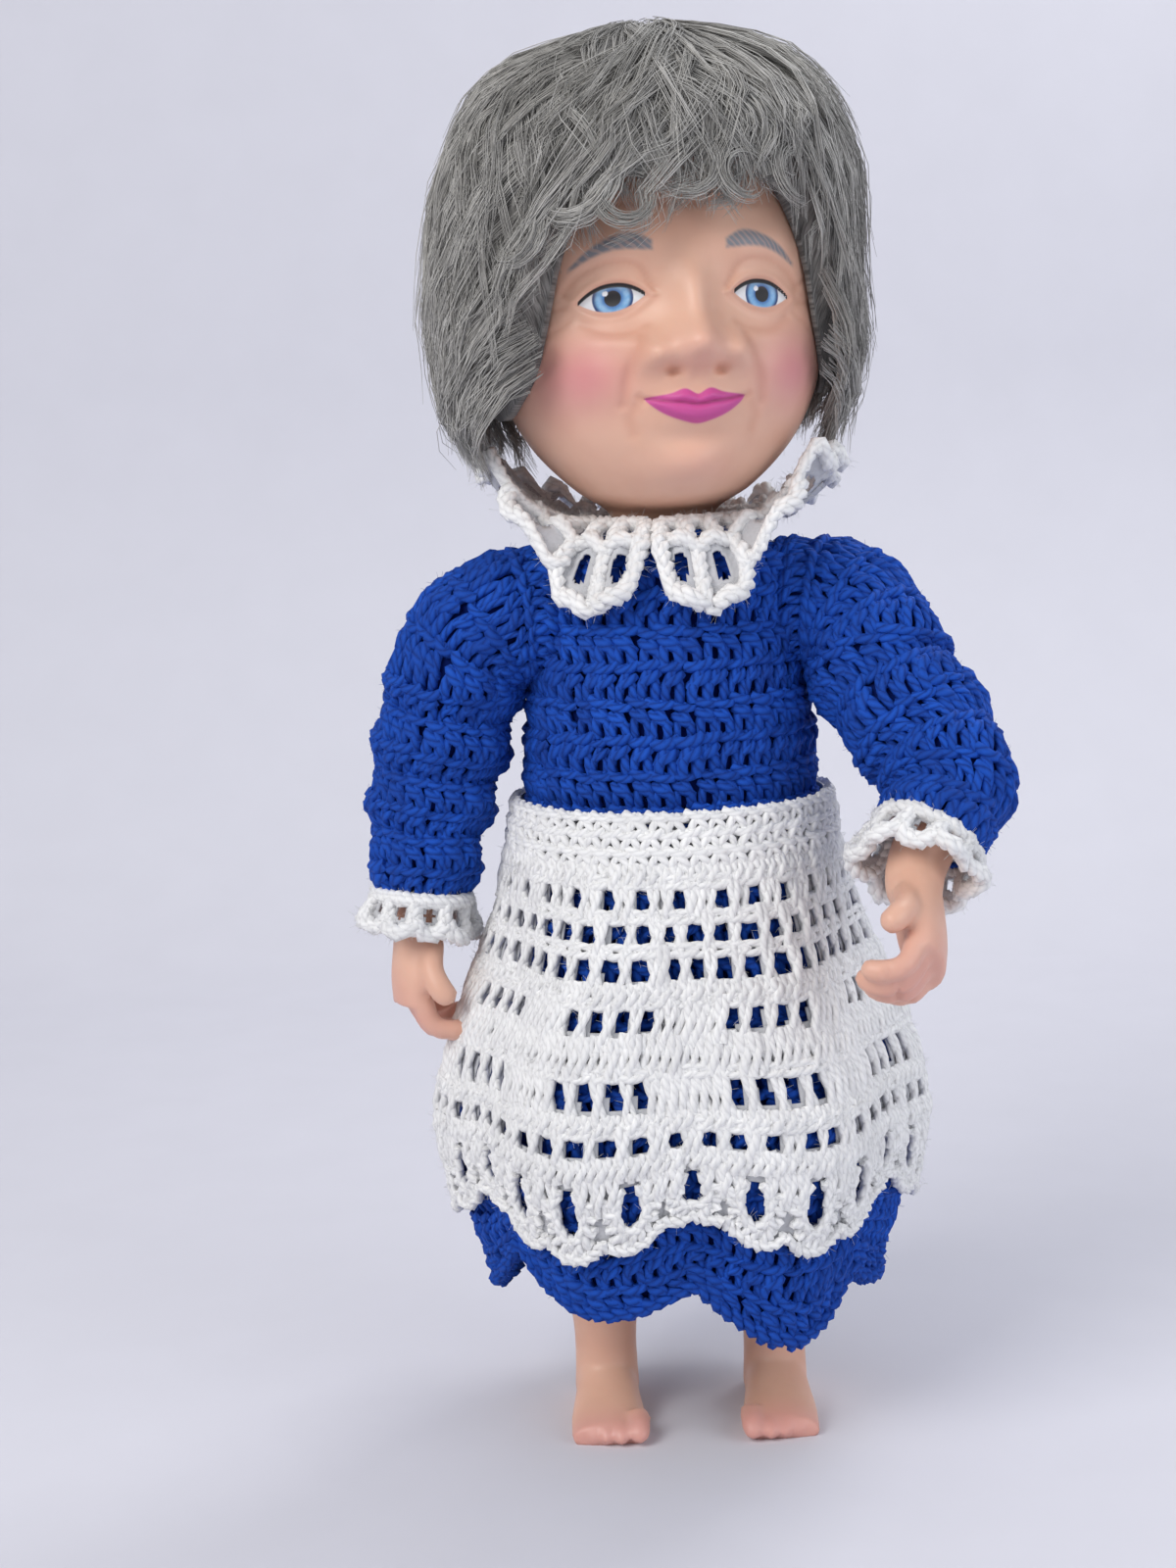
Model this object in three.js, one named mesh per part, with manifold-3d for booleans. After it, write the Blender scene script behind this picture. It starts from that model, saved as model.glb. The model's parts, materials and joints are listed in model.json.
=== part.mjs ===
// A dressed grandmother doll: a five-piece jointed vinyl body, a fibre wig, and a crocheted dress and apron.
// Millimetres, +Z up. The doll faces -Y and its left hand is at +X. All is placed about the body's own axis,
// and then the whole figure is moved so that the origin is on the floor under the middle of its bounding box.
import * as THREE from "three";
import { mergeVertices } from "three/addons/utils/BufferGeometryUtils.js";
import Module from "manifold-3d";

const wasm = await Module();
wasm.setup();

// Fits
const GAP = 0.4; // clearance between pieces that touch
const VINYL_WALL = 3;
const CLOTH = 3.2; // thickness of the crocheted cloth
const EASE = 1.5; // clearance of the clothes round the body

// Heights of the body, from the floor upwards
const FLOOR_TO_HIP = 128;
const HIP_TO_WAIST = 50;
const WAIST_TO_SHOULDER = 49;
const SHOULDER_TO_NECK = 13;
const HIP_Z = FLOOR_TO_HIP;
const WAIST_Z = HIP_Z + HIP_TO_WAIST;
const SHOULDER_Z = WAIST_Z + WAIST_TO_SHOULDER;
const NECK_Z = SHOULDER_Z + SHOULDER_TO_NECK;

// Torso, half sizes
const CROTCH_DROP = 16; // below the hip axis
const CROTCH_WIDTH = 12;
const CROTCH_DEPTH = 15;
const HIP_WIDTH = 35;
const HIP_DEPTH = 29;
const WAIST_WIDTH = 35;
const WAIST_DEPTH = 29.5;
const CHEST_WIDTH = 34;
const CHEST_DEPTH = 29.5;
const SHOULDER_WIDTH = 32;
const SHOULDER_DEPTH = 25;
const NECK_RIM = 17.5; // radius of the flat seat round the neck hole
const SHOULDER_DROP = 4; // from the neck seat to the top of the shoulders
const COLLARBONE_WIDTH = 30.5;
const COLLARBONE_DEPTH = 21.5;

// Snap joints: a flange on the limb sits behind the hole in the torso wall
const FLANGE_THICKNESS = 2.6;
const NECK_HOLE = 12.8;
const NECK_FLANGE = 15.6;
const NECK_RADIUS = 14.6;
const ARM_HOLE = 6.2;
const ARM_FLANGE = 8.2;
const LEG_HOLE = 7;
const LEG_FLANGE = 9.4;

// Head, measured up from the neck seat
const SKULL_CENTRE = 70;
const SKULL_HEIGHT = 55; // from the centre to the crown
const SKULL_WIDTH = 44; // half
const FACE_DEPTH = 44; // from the neck axis to the face at eye level
const SKULL_BACK = 47; // from the neck axis to the back
const NECK_LENGTH = 14;
const CHIN_UP = 20;
const CHIN_WIDTH = 23;
const CHIN_DEPTH = 31;
const JAW_UP = 31;
const JAW_WIDTH = 34;
const JAW_DEPTH = 41.5;
const MOUTH_UP = 43;
const CHEEK_UP = 51;
const CHEEK_WIDTH = 43;
const EYE_UP = 69;
const EYE_APART = 38.6; // between the pupils
const NOSE_UP = 57;
const NOSE_OUT = 11;
const NOSE_SPREAD = 7.3;
const BRIDGE_RISE = 11; // above the tip of the nose
const BRIDGE_WIDTH = 5;
const BRIDGE_HEIGHT = 10;
const WING_APART = 19; // between the wings of the nose
const WING_DROP = 1.5;
const WING_SPREAD = 4.2;
const CHEEK_APART = 48;
const CHEEK_SPREAD = 12;
const CHEEK_HEIGHT = 10;
const CHEEK_OUT = 4;
const SOCKET_WIDTH = 10;
const SOCKET_HEIGHT = 7.5;
const SOCKET_DEPTH = 4.2;
const EYEBALL_WIDTH = 6.5;
const EYEBALL_HEIGHT = 4.4;
const EYEBALL_OUT = 2.4;
const BROW_UP = 82;
const BROW_WIDTH = 12;
const BROW_HEIGHT = 4.5;
const BROW_OUT = 1.6;
const MUZZLE_WIDTH = 13;
const MUZZLE_HEIGHT = 8;
const MUZZLE_OUT = 3;
const LIP_DROP = 3.4; // below the middle of the mouth
const LIP_WIDTH = 8;
const LIP_HEIGHT = 2.4;
const LIP_OUT = 1.6;
const CREASE_DROP = 9; // of the crease over the chin, below the mouth
const CREASE_WIDTH = 9;
const CREASE_HEIGHT = 3.2;
const CREASE_DEPTH = 1.8;
const CHIN_BALL_UP = 6; // above the lower edge of the chin
const CHIN_BALL_WIDTH = 11;
const CHIN_BALL_HEIGHT = 7;
const CHIN_BALL_OUT = 4;
const HEAD_TURN = 10; // degrees to the doll's left, as it is posed

// Arms, from the shoulder joint
const SHOULDER_FLAT = 29; // from the middle to the arm joint
const SHOULDER_TOE_IN = 12; // degrees that the joint faces forwards
const ARM_BEND = 80; // degrees that the arm turns down from the joint
const ARM_BEND_RADIUS = 19.5;
const ARM_ROOT = 9.8; // from the joint to the start of the bend
const FOREARM_RUN = 69; // from the bend to the wrist
const ELBOW_FORWARD = 8; // how far the wrist is bent forwards
const SHOULDER_BALL = 13.4;
const UPPER_ARM = 12;
const ELBOW_RADIUS = 10;
const WRIST_RADIUS = 7.4;
const PALM_LENGTH = 22.5;
const PALM_WIDTH = 11.3; // half
const PALM_THICKNESS = 5.6; // half
const FINGER_RADIUS = 3.1;
const FINGER_LENGTH = 16;
const THUMB_RADIUS = 3.2;
const THUMB_LENGTH = 14;
const LEFT_ARM_SWING = 30; // degrees forwards from hanging, as it is posed
const RIGHT_ARM_SWING = -12;
const LEFT_ELBOW_OUT = 13; // how far the elbow bows away from the body
const RIGHT_ELBOW_OUT = 1;

// Legs, from the hip joint
const HIP_FLAT = 13.5; // from the middle to the leg joint
const LEG_OUT = 10.5; // from the joint to the middle of the leg
const THIGH_BALL = 19.4;
const THIGH_CAP = 22; // width of the thigh along the joint axis
const THIGH_RADIUS = 15;
const KNEE_RADIUS = 12;
const CALF_RADIUS = 12.4;
const ANKLE_RADIUS = 8.8;
const ANKLE_UP = 24; // above the floor
const FOOT_WIDTH = 10.6; // half
const FOOT_HEIGHT = 17;
const HEEL_BACK = 17;
const TOE_FORWARD = 32;
const TOE_RADIUS = 2.9;

// Wig
const WIG_CAP = 1.2;
const CAP_EASE = 1.2; // clearance over the skull
const CROWN_HAIR = 12;
const CORNER_HAIR = 18; // where the crown turns down to the sides
const FRINGE_HAIR = 9;
const LEFT_HAIR = 8;
const RIGHT_HAIR = 14;
const BACK_HAIR = 14;
const LOCK_DEPTH = 2.2; // how far the grooves between locks go in
const HAIR_DROP = 34; // below the widest part of the skull
const CROWN_ANGLE = 46; // degrees from the top where the crown weft ends
const FRINGE_ANGLE = 67;
const FACE_ANGLE = 52; // degrees from the front where the side wefts start
const NAPE_ANGLE = 122; // degrees from the front where the back weft starts

// Dress
const ARMHOLE = 15.4;
const SLEEVE_TOP = 18.5;
const SLEEVE_ELBOW = 17.6;
const SLEEVE_END = 12.4;
const LEFT_SLEEVE_RUN = 53; // along the arm below the bend
const RIGHT_SLEEVE_RUN = 61;
const CUFF_LENGTH = 9;
const CUFF_FLARE = 2;
const CUFF_THICKNESS = 2.4;
const CUFF_WAVES = 6;
const NECKLINE = 20.5; // radius of the bodice's top edge
const NECK_STAND = 5; // how far the bodice rises round the neck
const PLACKET = 1.2; // width of the slit at the back
const SKIRT_HIP_WIDTH = 44.8;
const SKIRT_HIP_DEPTH = 45;
const SKIRT_HIP_DROP = 32; // below the waist
const SKIRT_WIDE_WIDTH = 62;
const SKIRT_WIDE_DEPTH = 56;
const SKIRT_WIDE_DROP = 89;
const SKIRT_HEM_WIDTH = 50;
const SKIRT_HEM_DEPTH = 45;
const SKIRT_LENGTH = 147;
const SKIRT_FOLDS = 6;
const SKIRT_FOLD_DEPTH = 2.6;
const HEM_LOBES = 6;
const HEM_LOBE_DEPTH = 14;
const HEM_TILT = 6.4; // the hem hangs lower left of the middle by this much, and higher right of it
const COLLAR_FRONT_REACH = 38;
const COLLAR_FRONT_DROP = 14; // outer edge below the neck seat at the front
const COLLAR_SIDE_REACH = 49;
const COLLAR_SIDE_RISE = 29; // outer edge above the neck seat at the sides
const COLLAR_BACK_REACH = 45;
const COLLAR_BACK_RISE = 10;
const COLLAR_THICKNESS = 2.6;
const COLLAR_RUFFLES = 11;
const COLLAR_RUFFLE = 2.4;
const COLLAR_SPLIT = 5; // degrees left open each side of the middle
const COLLAR_CORNER = 18; // degrees over which each front corner is rounded off
const COLLAR_CORNER_REACH = 29;
const COLLAR_CORNER_RISE = 7;
const COLLAR_LEVEL = 30; // degrees from the split over which the edge hangs level
const COLLAR_UPRIGHT = 68; // degrees from the split where it stands up
const COLLAR_TURN = -9; // degrees that the split lies to the doll's left

// Apron
const WAISTBAND_HEIGHT = 13;
const APRON_LENGTH = 111; // waist to hem
const APRON_EASE = 1.6; // clearance of the apron and its band over the skirt
const APRON_WRAP = 152; // degrees from the front to each back edge
const APRON_SCALLOPS = 21;
const APRON_SCALLOP = 4;

// Buttons
const BUTTON_RADIUS = 3.6;
const BUTTON_THICKNESS = 1.8;
const BUTTON_HOLE = 0.6;
const BUTTONS_DOWN_BACK = 3;
const BUTTON_SPACING = 19;

// Facet counts
const ROUND = 28;
const TORSO_ROUND = 20;
const LIMB_ROUND = 12;
const SLEEVE_ROUND = 18;
const HEAD_ROUND = 32;
const CAP_ROUND = 24;
const CROWN_ROUND = 24;

const rad = THREE.MathUtils.degToRad;
const lerp = THREE.MathUtils.lerp;
const V = (x, y, z) => new THREE.Vector3(x, y, z);
const range = (count) => Array.from({ length: count }, (_, i) => i);
const spread = (count, from, to) => range(count).map((i) => lerp(from, to, i / (count - 1)));

// A smooth curve through values at increasing places.
function through(places, values) {
  const curve = new THREE.CubicInterpolant(places, values, 1);
  return (at) => curve.evaluate(THREE.MathUtils.clamp(at, places[0], places[places.length - 1]))[0];
}

// Closed bodies from points and triangles, turned to face out
function body(points, triangles) {
  const geometry = new THREE.BufferGeometry().setFromPoints(points);
  let volume = 0;
  for (const [a, b, c] of triangles) {
    volume += points[a].dot(V(0, 0, 0).crossVectors(points[b], points[c]));
  }
  geometry.setIndex(triangles.flatMap(([a, b, c]) => (volume > 0 ? [a, b, c] : [a, c, b])));
  return geometry;
}

// Triangles between rows of points; each row closes on itself if round is true.
function web(rows, columns, first, round) {
  const made = [];
  const at = (i, j) => first + i * columns + (j % columns);
  for (let i = 0; i + 1 < rows; i += 1) {
    for (let j = 0; j < (round ? columns : columns - 1); j += 1) {
      made.push([at(i, j), at(i, j + 1), at(i + 1, j + 1)]);
      made.push([at(i, j), at(i + 1, j + 1), at(i + 1, j)]);
    }
  }
  return made;
}

const middle = (ring) => ring.reduce((sum, p) => sum.add(p), V(0, 0, 0)).divideScalar(ring.length);
const flipped = (triangles) => triangles.map(([a, b, c]) => [a, c, b]);

function fan(centre, first, columns) {
  return range(columns).map((j) => [centre, first + ((j + 1) % columns), first + j]);
}

// A solid through closed rings, with both ends filled.
function loft(rings) {
  const columns = rings[0].length;
  const points = [...rings.flat(), middle(rings[0]), middle(rings.at(-1))];
  const start = points.length - 2;
  return body(points, [
    ...web(rings.length, columns, 0, true),
    ...fan(start, 0, columns),
    ...flipped(fan(start + 1, (rings.length - 1) * columns, columns)),
  ]);
}

// A wall between outer and inner rings, open at both ends.
function tube(outer, inner) {
  const columns = outer[0].length;
  return body([...outer, ...[...inner].reverse()].flat(), [
    ...web(outer.length + inner.length, columns, 0, true),
    ...range(columns).flatMap((j) => {
      const last = (outer.length + inner.length - 1) * columns;
      const next = (j + 1) % columns;
      return [
        [last + j, last + next, next],
        [last + j, next, j],
      ];
    }),
  ]);
}

// A wall between outer and inner rings, open at the first ring and closed over the last.
function dome(outer, inner) {
  const columns = outer[0].length;
  const rows = [...[...outer].reverse(), ...inner];
  const points = [...rows.flat(), middle(outer.at(-1)), middle(inner.at(-1))];
  const start = points.length - 2;
  return body(points, [
    ...web(rows.length, columns, 0, true),
    ...fan(start, 0, columns),
    ...flipped(fan(start + 1, (rows.length - 1) * columns, columns)),
  ]);
}

// A slab between two grids of the same size.
function slab(outer, inner) {
  const rows = outer.length;
  const columns = outer[0].length;
  const under = rows * columns;
  const at = (i, j) => i * columns + j;
  const edge = [
    ...range(columns).map((j) => at(0, j)),
    ...range(rows - 1).map((i) => at(i + 1, columns - 1)),
    ...range(columns - 1).map((j) => at(rows - 1, columns - 2 - j)),
    ...range(rows - 2).map((i) => at(rows - 2 - i, 0)),
  ];
  const sides = edge.flatMap((a, k) => {
    const b = edge[(k + 1) % edge.length];
    return [
      [b, a, under + a],
      [b, under + a, under + b],
    ];
  });
  return body([...outer.flat(), ...inner.flat()], [
    ...web(rows, columns, 0, false),
    ...flipped(web(rows, columns, under, false)),
    ...sides,
  ]);
}

// Joins and cuts
function solid(geometry) {
  const plain = geometry.clone();
  for (const name of ["normal", "uv"]) plain.deleteAttribute(name);
  const merged = mergeVertices(plain, 1e-4);
  return new wasm.Manifold(
    new wasm.Mesh({
      numProp: 3,
      vertProperties: merged.attributes.position.array,
      triVerts: new Uint32Array(merged.index.array),
    }),
  );
}

function geometryOf(made) {
  const mesh = made.getMesh();
  return new THREE.BufferGeometry()
    .setAttribute("position", new THREE.BufferAttribute(mesh.vertProperties, mesh.numProp))
    .setIndex(new THREE.BufferAttribute(mesh.triVerts, 1));
}

const cut = (from, ...tools) => tools.reduce((left, tool) => left.subtract(tool), from);
const joined = (...pieces) => pieces.reduce((sum, piece) => sum.add(piece));

// A solid of revolution about the local X axis, from [along, radius] pairs.
function turned(profile, segments = LIMB_ROUND) {
  const outline = profile.map(([along, radius]) => new THREE.Vector2(radius, along));
  return new THREE.LatheGeometry(outline, segments).rotateZ(-Math.PI / 2);
}

function rod(from, to, radius, segments = 16) {
  const profile = [
    [from, 0],
    [from, radius],
    [to, radius],
    [to, 0],
  ];
  return turned(profile, segments);
}

const placed = (geometry, matrix) => geometry.clone().applyMatrix4(matrix);
const shift = (x, y, z) => new THREE.Matrix4().makeTranslation(x, y, z);
const turnZ = (angle) => new THREE.Matrix4().makeRotationZ(angle);

// An oval ring at height z, with its own depth in front and behind.
function oval(z, width, front, back = front, columns = ROUND) {
  return range(columns).map((j) => {
    const angle = (j / columns) * 2 * Math.PI;
    const depth = Math.sin(angle) < 0 ? front : back;
    return V(width * Math.cos(angle), depth * Math.sin(angle), z);
  });
}

// Places of the joints. Local X points out along the axis, and a mirrored side turns its Y round.
const SIDES = { left: 1, right: -1 };
const outward = (side, toeIn) => (side > 0 ? -rad(toeIn) : Math.PI + rad(toeIn));
const jointFrame = (side, x, z, toeIn) => shift(side * x, 0, z).multiply(turnZ(outward(side, toeIn)));
const armFrame = (side) => jointFrame(side, SHOULDER_FLAT, SHOULDER_Z, SHOULDER_TOE_IN);
const legFrame = (side) => jointFrame(side, HIP_FLAT, HIP_Z, 0);

// Torso
const torsoHeights = [
  HIP_Z - CROTCH_DROP,
  HIP_Z - CROTCH_DROP / 2,
  HIP_Z + HIP_TO_WAIST / 2,
  WAIST_Z,
  WAIST_Z + WAIST_TO_SHOULDER / 2,
  SHOULDER_Z,
  NECK_Z - SHOULDER_DROP,
  NECK_Z,
];
const torsoWidth = through(torsoHeights, [
  CROTCH_WIDTH,
  (CROTCH_WIDTH + HIP_WIDTH) / 2,
  HIP_WIDTH,
  WAIST_WIDTH,
  CHEST_WIDTH,
  SHOULDER_WIDTH,
  COLLARBONE_WIDTH,
  NECK_RIM,
]);
const torsoDepth = through(torsoHeights, [
  CROTCH_DEPTH,
  (CROTCH_DEPTH + HIP_DEPTH) / 2,
  HIP_DEPTH,
  WAIST_DEPTH,
  CHEST_DEPTH,
  SHOULDER_DEPTH,
  COLLARBONE_DEPTH,
  NECK_RIM,
]);

function torsoRings(from, to, count, inset) {
  return spread(count, from, to).map((z) => {
    const depth = torsoDepth(z) - inset;
    return oval(z, torsoWidth(z) - inset, depth, depth, TORSO_ROUND);
  });
}

function torso() {
  const bottom = HIP_Z - CROTCH_DROP;
  const reach = HIP_WIDTH + SHOULDER_WIDTH;
  const sockets = Object.values(SIDES).flatMap((side) => [
    { frame: armFrame(side), recess: SHOULDER_BALL + GAP + 2, hole: ARM_HOLE, flange: ARM_FLANGE },
    { frame: legFrame(side), recess: THIGH_BALL + 2 * GAP, hole: LEG_HOLE, flange: LEG_FLANGE },
  ]);
  const chamber = (socket) => {
    const behind = VINYL_WALL + FLANGE_THICKNESS + 3 * GAP;
    return solid(placed(rod(-behind, -VINYL_WALL, socket.flange + GAP), socket.frame));
  };
  const bowl = (socket, wall) => solid(placed(rod(-wall, reach, socket.recess + wall), socket.frame));
  const hollow = solid(loft(torsoRings(bottom + VINYL_WALL, NECK_Z - VINYL_WALL, 7, VINYL_WALL)));
  const walls = sockets.map((socket) => bowl(socket, VINYL_WALL));
  const cavity = joined(cut(hollow, ...walls), ...sockets.map(chamber));
  const holes = sockets.map((socket) => solid(placed(rod(-2 * VINYL_WALL, GAP, socket.hole), socket.frame)));
  const neckHole = placed(rod(-2 * VINYL_WALL, GAP, NECK_HOLE), shift(0, 0, NECK_Z).multiply(UP));
  return geometryOf(
    cut(
      solid(loft(torsoRings(bottom, NECK_Z, 10, 0))),
      ...sockets.map((socket) => bowl(socket, 0)),
      cavity,
      ...holes,
      solid(neckHole),
    ),
  );
}

// Turns local X to point up.
const UP = new THREE.Matrix4().makeRotationY(-Math.PI / 2);

// The profile of a snap flange: behind the wall, through the hole, and out to the shoulder of the piece.
const flangeProfile = (flange, hole, inside) => [
  [-VINYL_WALL - GAP - FLANGE_THICKNESS, inside],
  [-VINYL_WALL - GAP - FLANGE_THICKNESS, flange],
  [-VINYL_WALL - GAP, flange],
  [-VINYL_WALL - GAP, hole - GAP],
  [GAP, hole - GAP],
];

// Head: half ovals up from the neck, an ellipsoid above the eyes, and the features raised on the face
const headHeights = [NECK_LENGTH, CHIN_UP, JAW_UP, MOUTH_UP, CHEEK_UP, SKULL_CENTRE];
const mouthWidth = lerp(JAW_WIDTH, CHEEK_WIDTH, 0.75);
const widths = [NECK_RADIUS, CHIN_WIDTH, JAW_WIDTH, mouthWidth, CHEEK_WIDTH, SKULL_WIDTH];
const lowerWidth = through(headHeights, widths);
const fronts = [NECK_RADIUS, CHIN_DEPTH, JAW_DEPTH, FACE_DEPTH, FACE_DEPTH, FACE_DEPTH];
const lowerFront = through(headHeights, fronts);
const backs = [0, 0.25, 0.62, 0.84, 0.93, 1].map((share) => lerp(NECK_RADIUS, SKULL_BACK, share));
const lowerBack = through(headHeights, backs);
const roundness = (up) => Math.sqrt(Math.max(0, 1 - ((up - SKULL_CENTRE) / SKULL_HEIGHT) ** 2));
const skullAt = (lower, size) => (up) => (up <= SKULL_CENTRE ? lower(up) : size * roundness(up));
const headWidth = skullAt(lowerWidth, SKULL_WIDTH);
const headFront = skullAt(lowerFront, FACE_DEPTH);
const headBack = skullAt(lowerBack, SKULL_BACK);

// Raised and sunk places on the face: across, up, half spread across and up, and height.
const spot = (across, up, wide, tall, out) => ({ across, up, wide, tall, out });
const FEATURES = [
  spot(0, NOSE_UP, NOSE_SPREAD, NOSE_SPREAD, NOSE_OUT),
  spot(0, NOSE_UP + BRIDGE_RISE, BRIDGE_WIDTH, BRIDGE_HEIGHT, NOSE_OUT * 0.5),
  spot(WING_APART / 2, NOSE_UP - WING_DROP, WING_SPREAD, WING_SPREAD, NOSE_OUT * 0.42),
  spot(CHEEK_APART / 2, CHEEK_UP, CHEEK_SPREAD, CHEEK_HEIGHT, CHEEK_OUT),
  spot(EYE_APART / 2, EYE_UP, SOCKET_WIDTH, SOCKET_HEIGHT, -SOCKET_DEPTH),
  spot(EYE_APART / 2, EYE_UP, EYEBALL_WIDTH, EYEBALL_HEIGHT, EYEBALL_OUT),
  spot(EYE_APART / 2, BROW_UP, BROW_WIDTH, BROW_HEIGHT, BROW_OUT),
  spot(0, MOUTH_UP, MUZZLE_WIDTH, MUZZLE_HEIGHT, MUZZLE_OUT),
  spot(0, MOUTH_UP - LIP_DROP, LIP_WIDTH, LIP_HEIGHT, LIP_OUT),
  spot(0, MOUTH_UP - CREASE_DROP, CREASE_WIDTH, CREASE_HEIGHT, -CREASE_DEPTH),
  spot(0, CHIN_UP + CHIN_BALL_UP, CHIN_BALL_WIDTH, CHIN_BALL_HEIGHT, CHIN_BALL_OUT),
];

function raised(across, up) {
  return FEATURES.reduce((sum, place) => {
    const across2 = ((Math.abs(across) - place.across) / place.wide) ** 2;
    const up2 = ((up - place.up) / place.tall) ** 2;
    return sum + place.out * Math.exp(-across2 - up2);
  }, 0);
}

function headRing(up, inset, features) {
  const [width, front, back] = [headWidth, headFront, headBack].map((size) => Math.max(size(up) - inset, 1));
  const frontSteps = Math.round(HEAD_ROUND * 0.64);
  const angles = [
    ...range(frontSteps).map((i) => Math.PI * (1 + i / frontSteps)),
    ...range(HEAD_ROUND - frontSteps).map((i) => (Math.PI * i) / (HEAD_ROUND - frontSteps)),
  ];
  return angles.map((angle) => {
    const x = width * Math.cos(angle);
    const y = (Math.sin(angle) < 0 ? front : back) * Math.sin(angle);
    return V(x, y - (features && y < 0 ? raised(x, up) * Math.min(1, (-y / front) * 1.4) : 0), up);
  });
}

function head() {
  const neck = (along, radius) => oval(along, radius, radius, radius, HEAD_ROUND).map((_, j) => {
    const pattern = headRing(NECK_LENGTH, 0, false)[j];
    return pattern.clone().multiplyScalar(radius / NECK_RADIUS).setZ(along);
  });
  const crown = SKULL_CENTRE + SKULL_HEIGHT;
  const faceLevels = spread(18, NECK_LENGTH + 2, BROW_UP + 4);
  const scalpLevels = range(6).map((i) => {
    const start = Math.asin((BROW_UP + 4 - SKULL_CENTRE) / SKULL_HEIGHT);
    return SKULL_CENTRE + SKULL_HEIGHT * Math.sin(lerp(start, Math.PI / 2, (i + 1) / 6.6));
  });
  const flange = flangeProfile(NECK_FLANGE, NECK_HOLE, NECK_FLANGE).slice(1);
  const outer = [
    ...flange.map(([along, radius]) => neck(along, radius)),
    neck(GAP, NECK_RADIUS),
    neck(NECK_LENGTH - 4, NECK_RADIUS),
    ...[...faceLevels, ...scalpLevels].map((up) => headRing(up, 0, true)),
  ];
  const bore = NECK_HOLE - GAP - VINYL_WALL;
  const inner = [
    neck(-VINYL_WALL - GAP - FLANGE_THICKNESS, bore),
    neck(NECK_LENGTH, bore),
    ...spread(4, CHIN_UP + 4, crown - VINYL_WALL - 3).map((up) => headRing(up, VINYL_WALL + 1.5, false)),
  ];
  return dome(outer, inner);
}

// Wig: measured round the skull as an angle down from the crown, then straight down past its widest part
function scalp(angle, down, offset, drop = 0) {
  const depth = Math.cos(angle) > 0 ? FACE_DEPTH : SKULL_BACK;
  return V(
    (SKULL_WIDTH + offset) * Math.sin(angle) * Math.sin(down),
    -(depth + offset) * Math.cos(angle) * Math.sin(down),
    SKULL_CENTRE + (SKULL_HEIGHT + offset) * Math.cos(down) - drop,
  );
}

function wigCap() {
  const edge = (angle) => rad(lerp(FRINGE_ANGLE - 12, 90, (0.5 - 0.5 * Math.cos(angle)) ** 0.6));
  const rings = (offset) =>
    spread(6, 0, 0.9).map((up) =>
      range(CAP_ROUND).map((j) => {
        const angle = (j / CAP_ROUND) * 2 * Math.PI;
        return scalp(angle, edge(angle) * (1 - up), offset);
      }),
    );
  return dome(rings(CAP_EASE + WIG_CAP), rings(CAP_EASE));
}

const lock = (angle, count) => LOCK_DEPTH * (0.5 - 0.5 * Math.cos(angle * count));
const HAIR_BASE = CAP_EASE + WIG_CAP + GAP;

function crownWeft() {
  const rings = (offset) =>
    spread(6, 1, 0.06).map((share) =>
      range(CROWN_ROUND).map((j) => {
        const angle = (j / CROWN_ROUND) * 2 * Math.PI;
        const swirl = angle + share * 0.5;
        return scalp(angle, rad(CROWN_ANGLE) * share, offset(swirl, share));
      }),
    );
  return dome(
    rings((swirl, share) => HAIR_BASE + lerp(CROWN_HAIR, CORNER_HAIR, share ** 2) - lock(swirl, 10) * share),
    rings(() => HAIR_BASE),
  );
}

// A weft over part of the skull, from the crown weft's edge down. Past the widest part it hangs straight.
function sideWeft(fromAngle, toAngle, columns, thickness, downTo, drop) {
  const across = spread(columns, rad(fromAngle), rad(toAngle));
  const gap = GAP / SKULL_HEIGHT;
  const overSkull = spread(5, rad(CROWN_ANGLE) + gap, rad(downTo)).map((down) => ({ down, fall: 0 }));
  const hanging = drop > 0 ? spread(3, drop / 3, drop).map((fall) => ({ down: rad(downTo), fall })) : [];
  const levels = [...overSkull, ...hanging];
  const grid = (offset) =>
    levels.map(({ down, fall }, i) =>
      across.map((angle) => {
        const tip = fall === 0 ? fall : fall - lock(angle, 9) * (fall / drop);
        return scalp(angle, down, offset(angle, i / (levels.length - 1)), tip);
      }),
    );
  const fall = (share) => THREE.MathUtils.smoothstep(share, 0, 0.6);
  const full = (angle, share) => lerp(CORNER_HAIR, thickness(angle), fall(share));
  return slab(
    grid((angle, share) => HAIR_BASE + full(angle, share) - lock(angle, 9)),
    grid(() => HAIR_BASE),
  );
}

// Hair that grows from the fringe's thickness beside the face to its own at the ear.
const fuller = (thickness) => (angle) => {
  const share = THREE.MathUtils.smoothstep(Math.abs(angle), rad(FACE_ANGLE), Math.PI / 2);
  return lerp(FRINGE_HAIR, thickness, share);
};
const SEAM = 0.6; // degrees between neighbouring wefts
const wefts = {
  crown_weft: crownWeft,
  fringe_weft: () => sideWeft(-FACE_ANGLE + SEAM, FACE_ANGLE - SEAM, 17, () => FRINGE_HAIR, FRINGE_ANGLE, 0),
  left_side_weft: () => sideWeft(FACE_ANGLE, NAPE_ANGLE - SEAM, 12, fuller(LEFT_HAIR), 90, HAIR_DROP),
  right_side_weft: () => sideWeft(-NAPE_ANGLE + SEAM, -FACE_ANGLE, 12, fuller(RIGHT_HAIR), 90, HAIR_DROP),
  back_weft: () => sideWeft(NAPE_ANGLE, 360 - NAPE_ANGLE, 17, () => BACK_HAIR, 90, HAIR_DROP),
};

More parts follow.
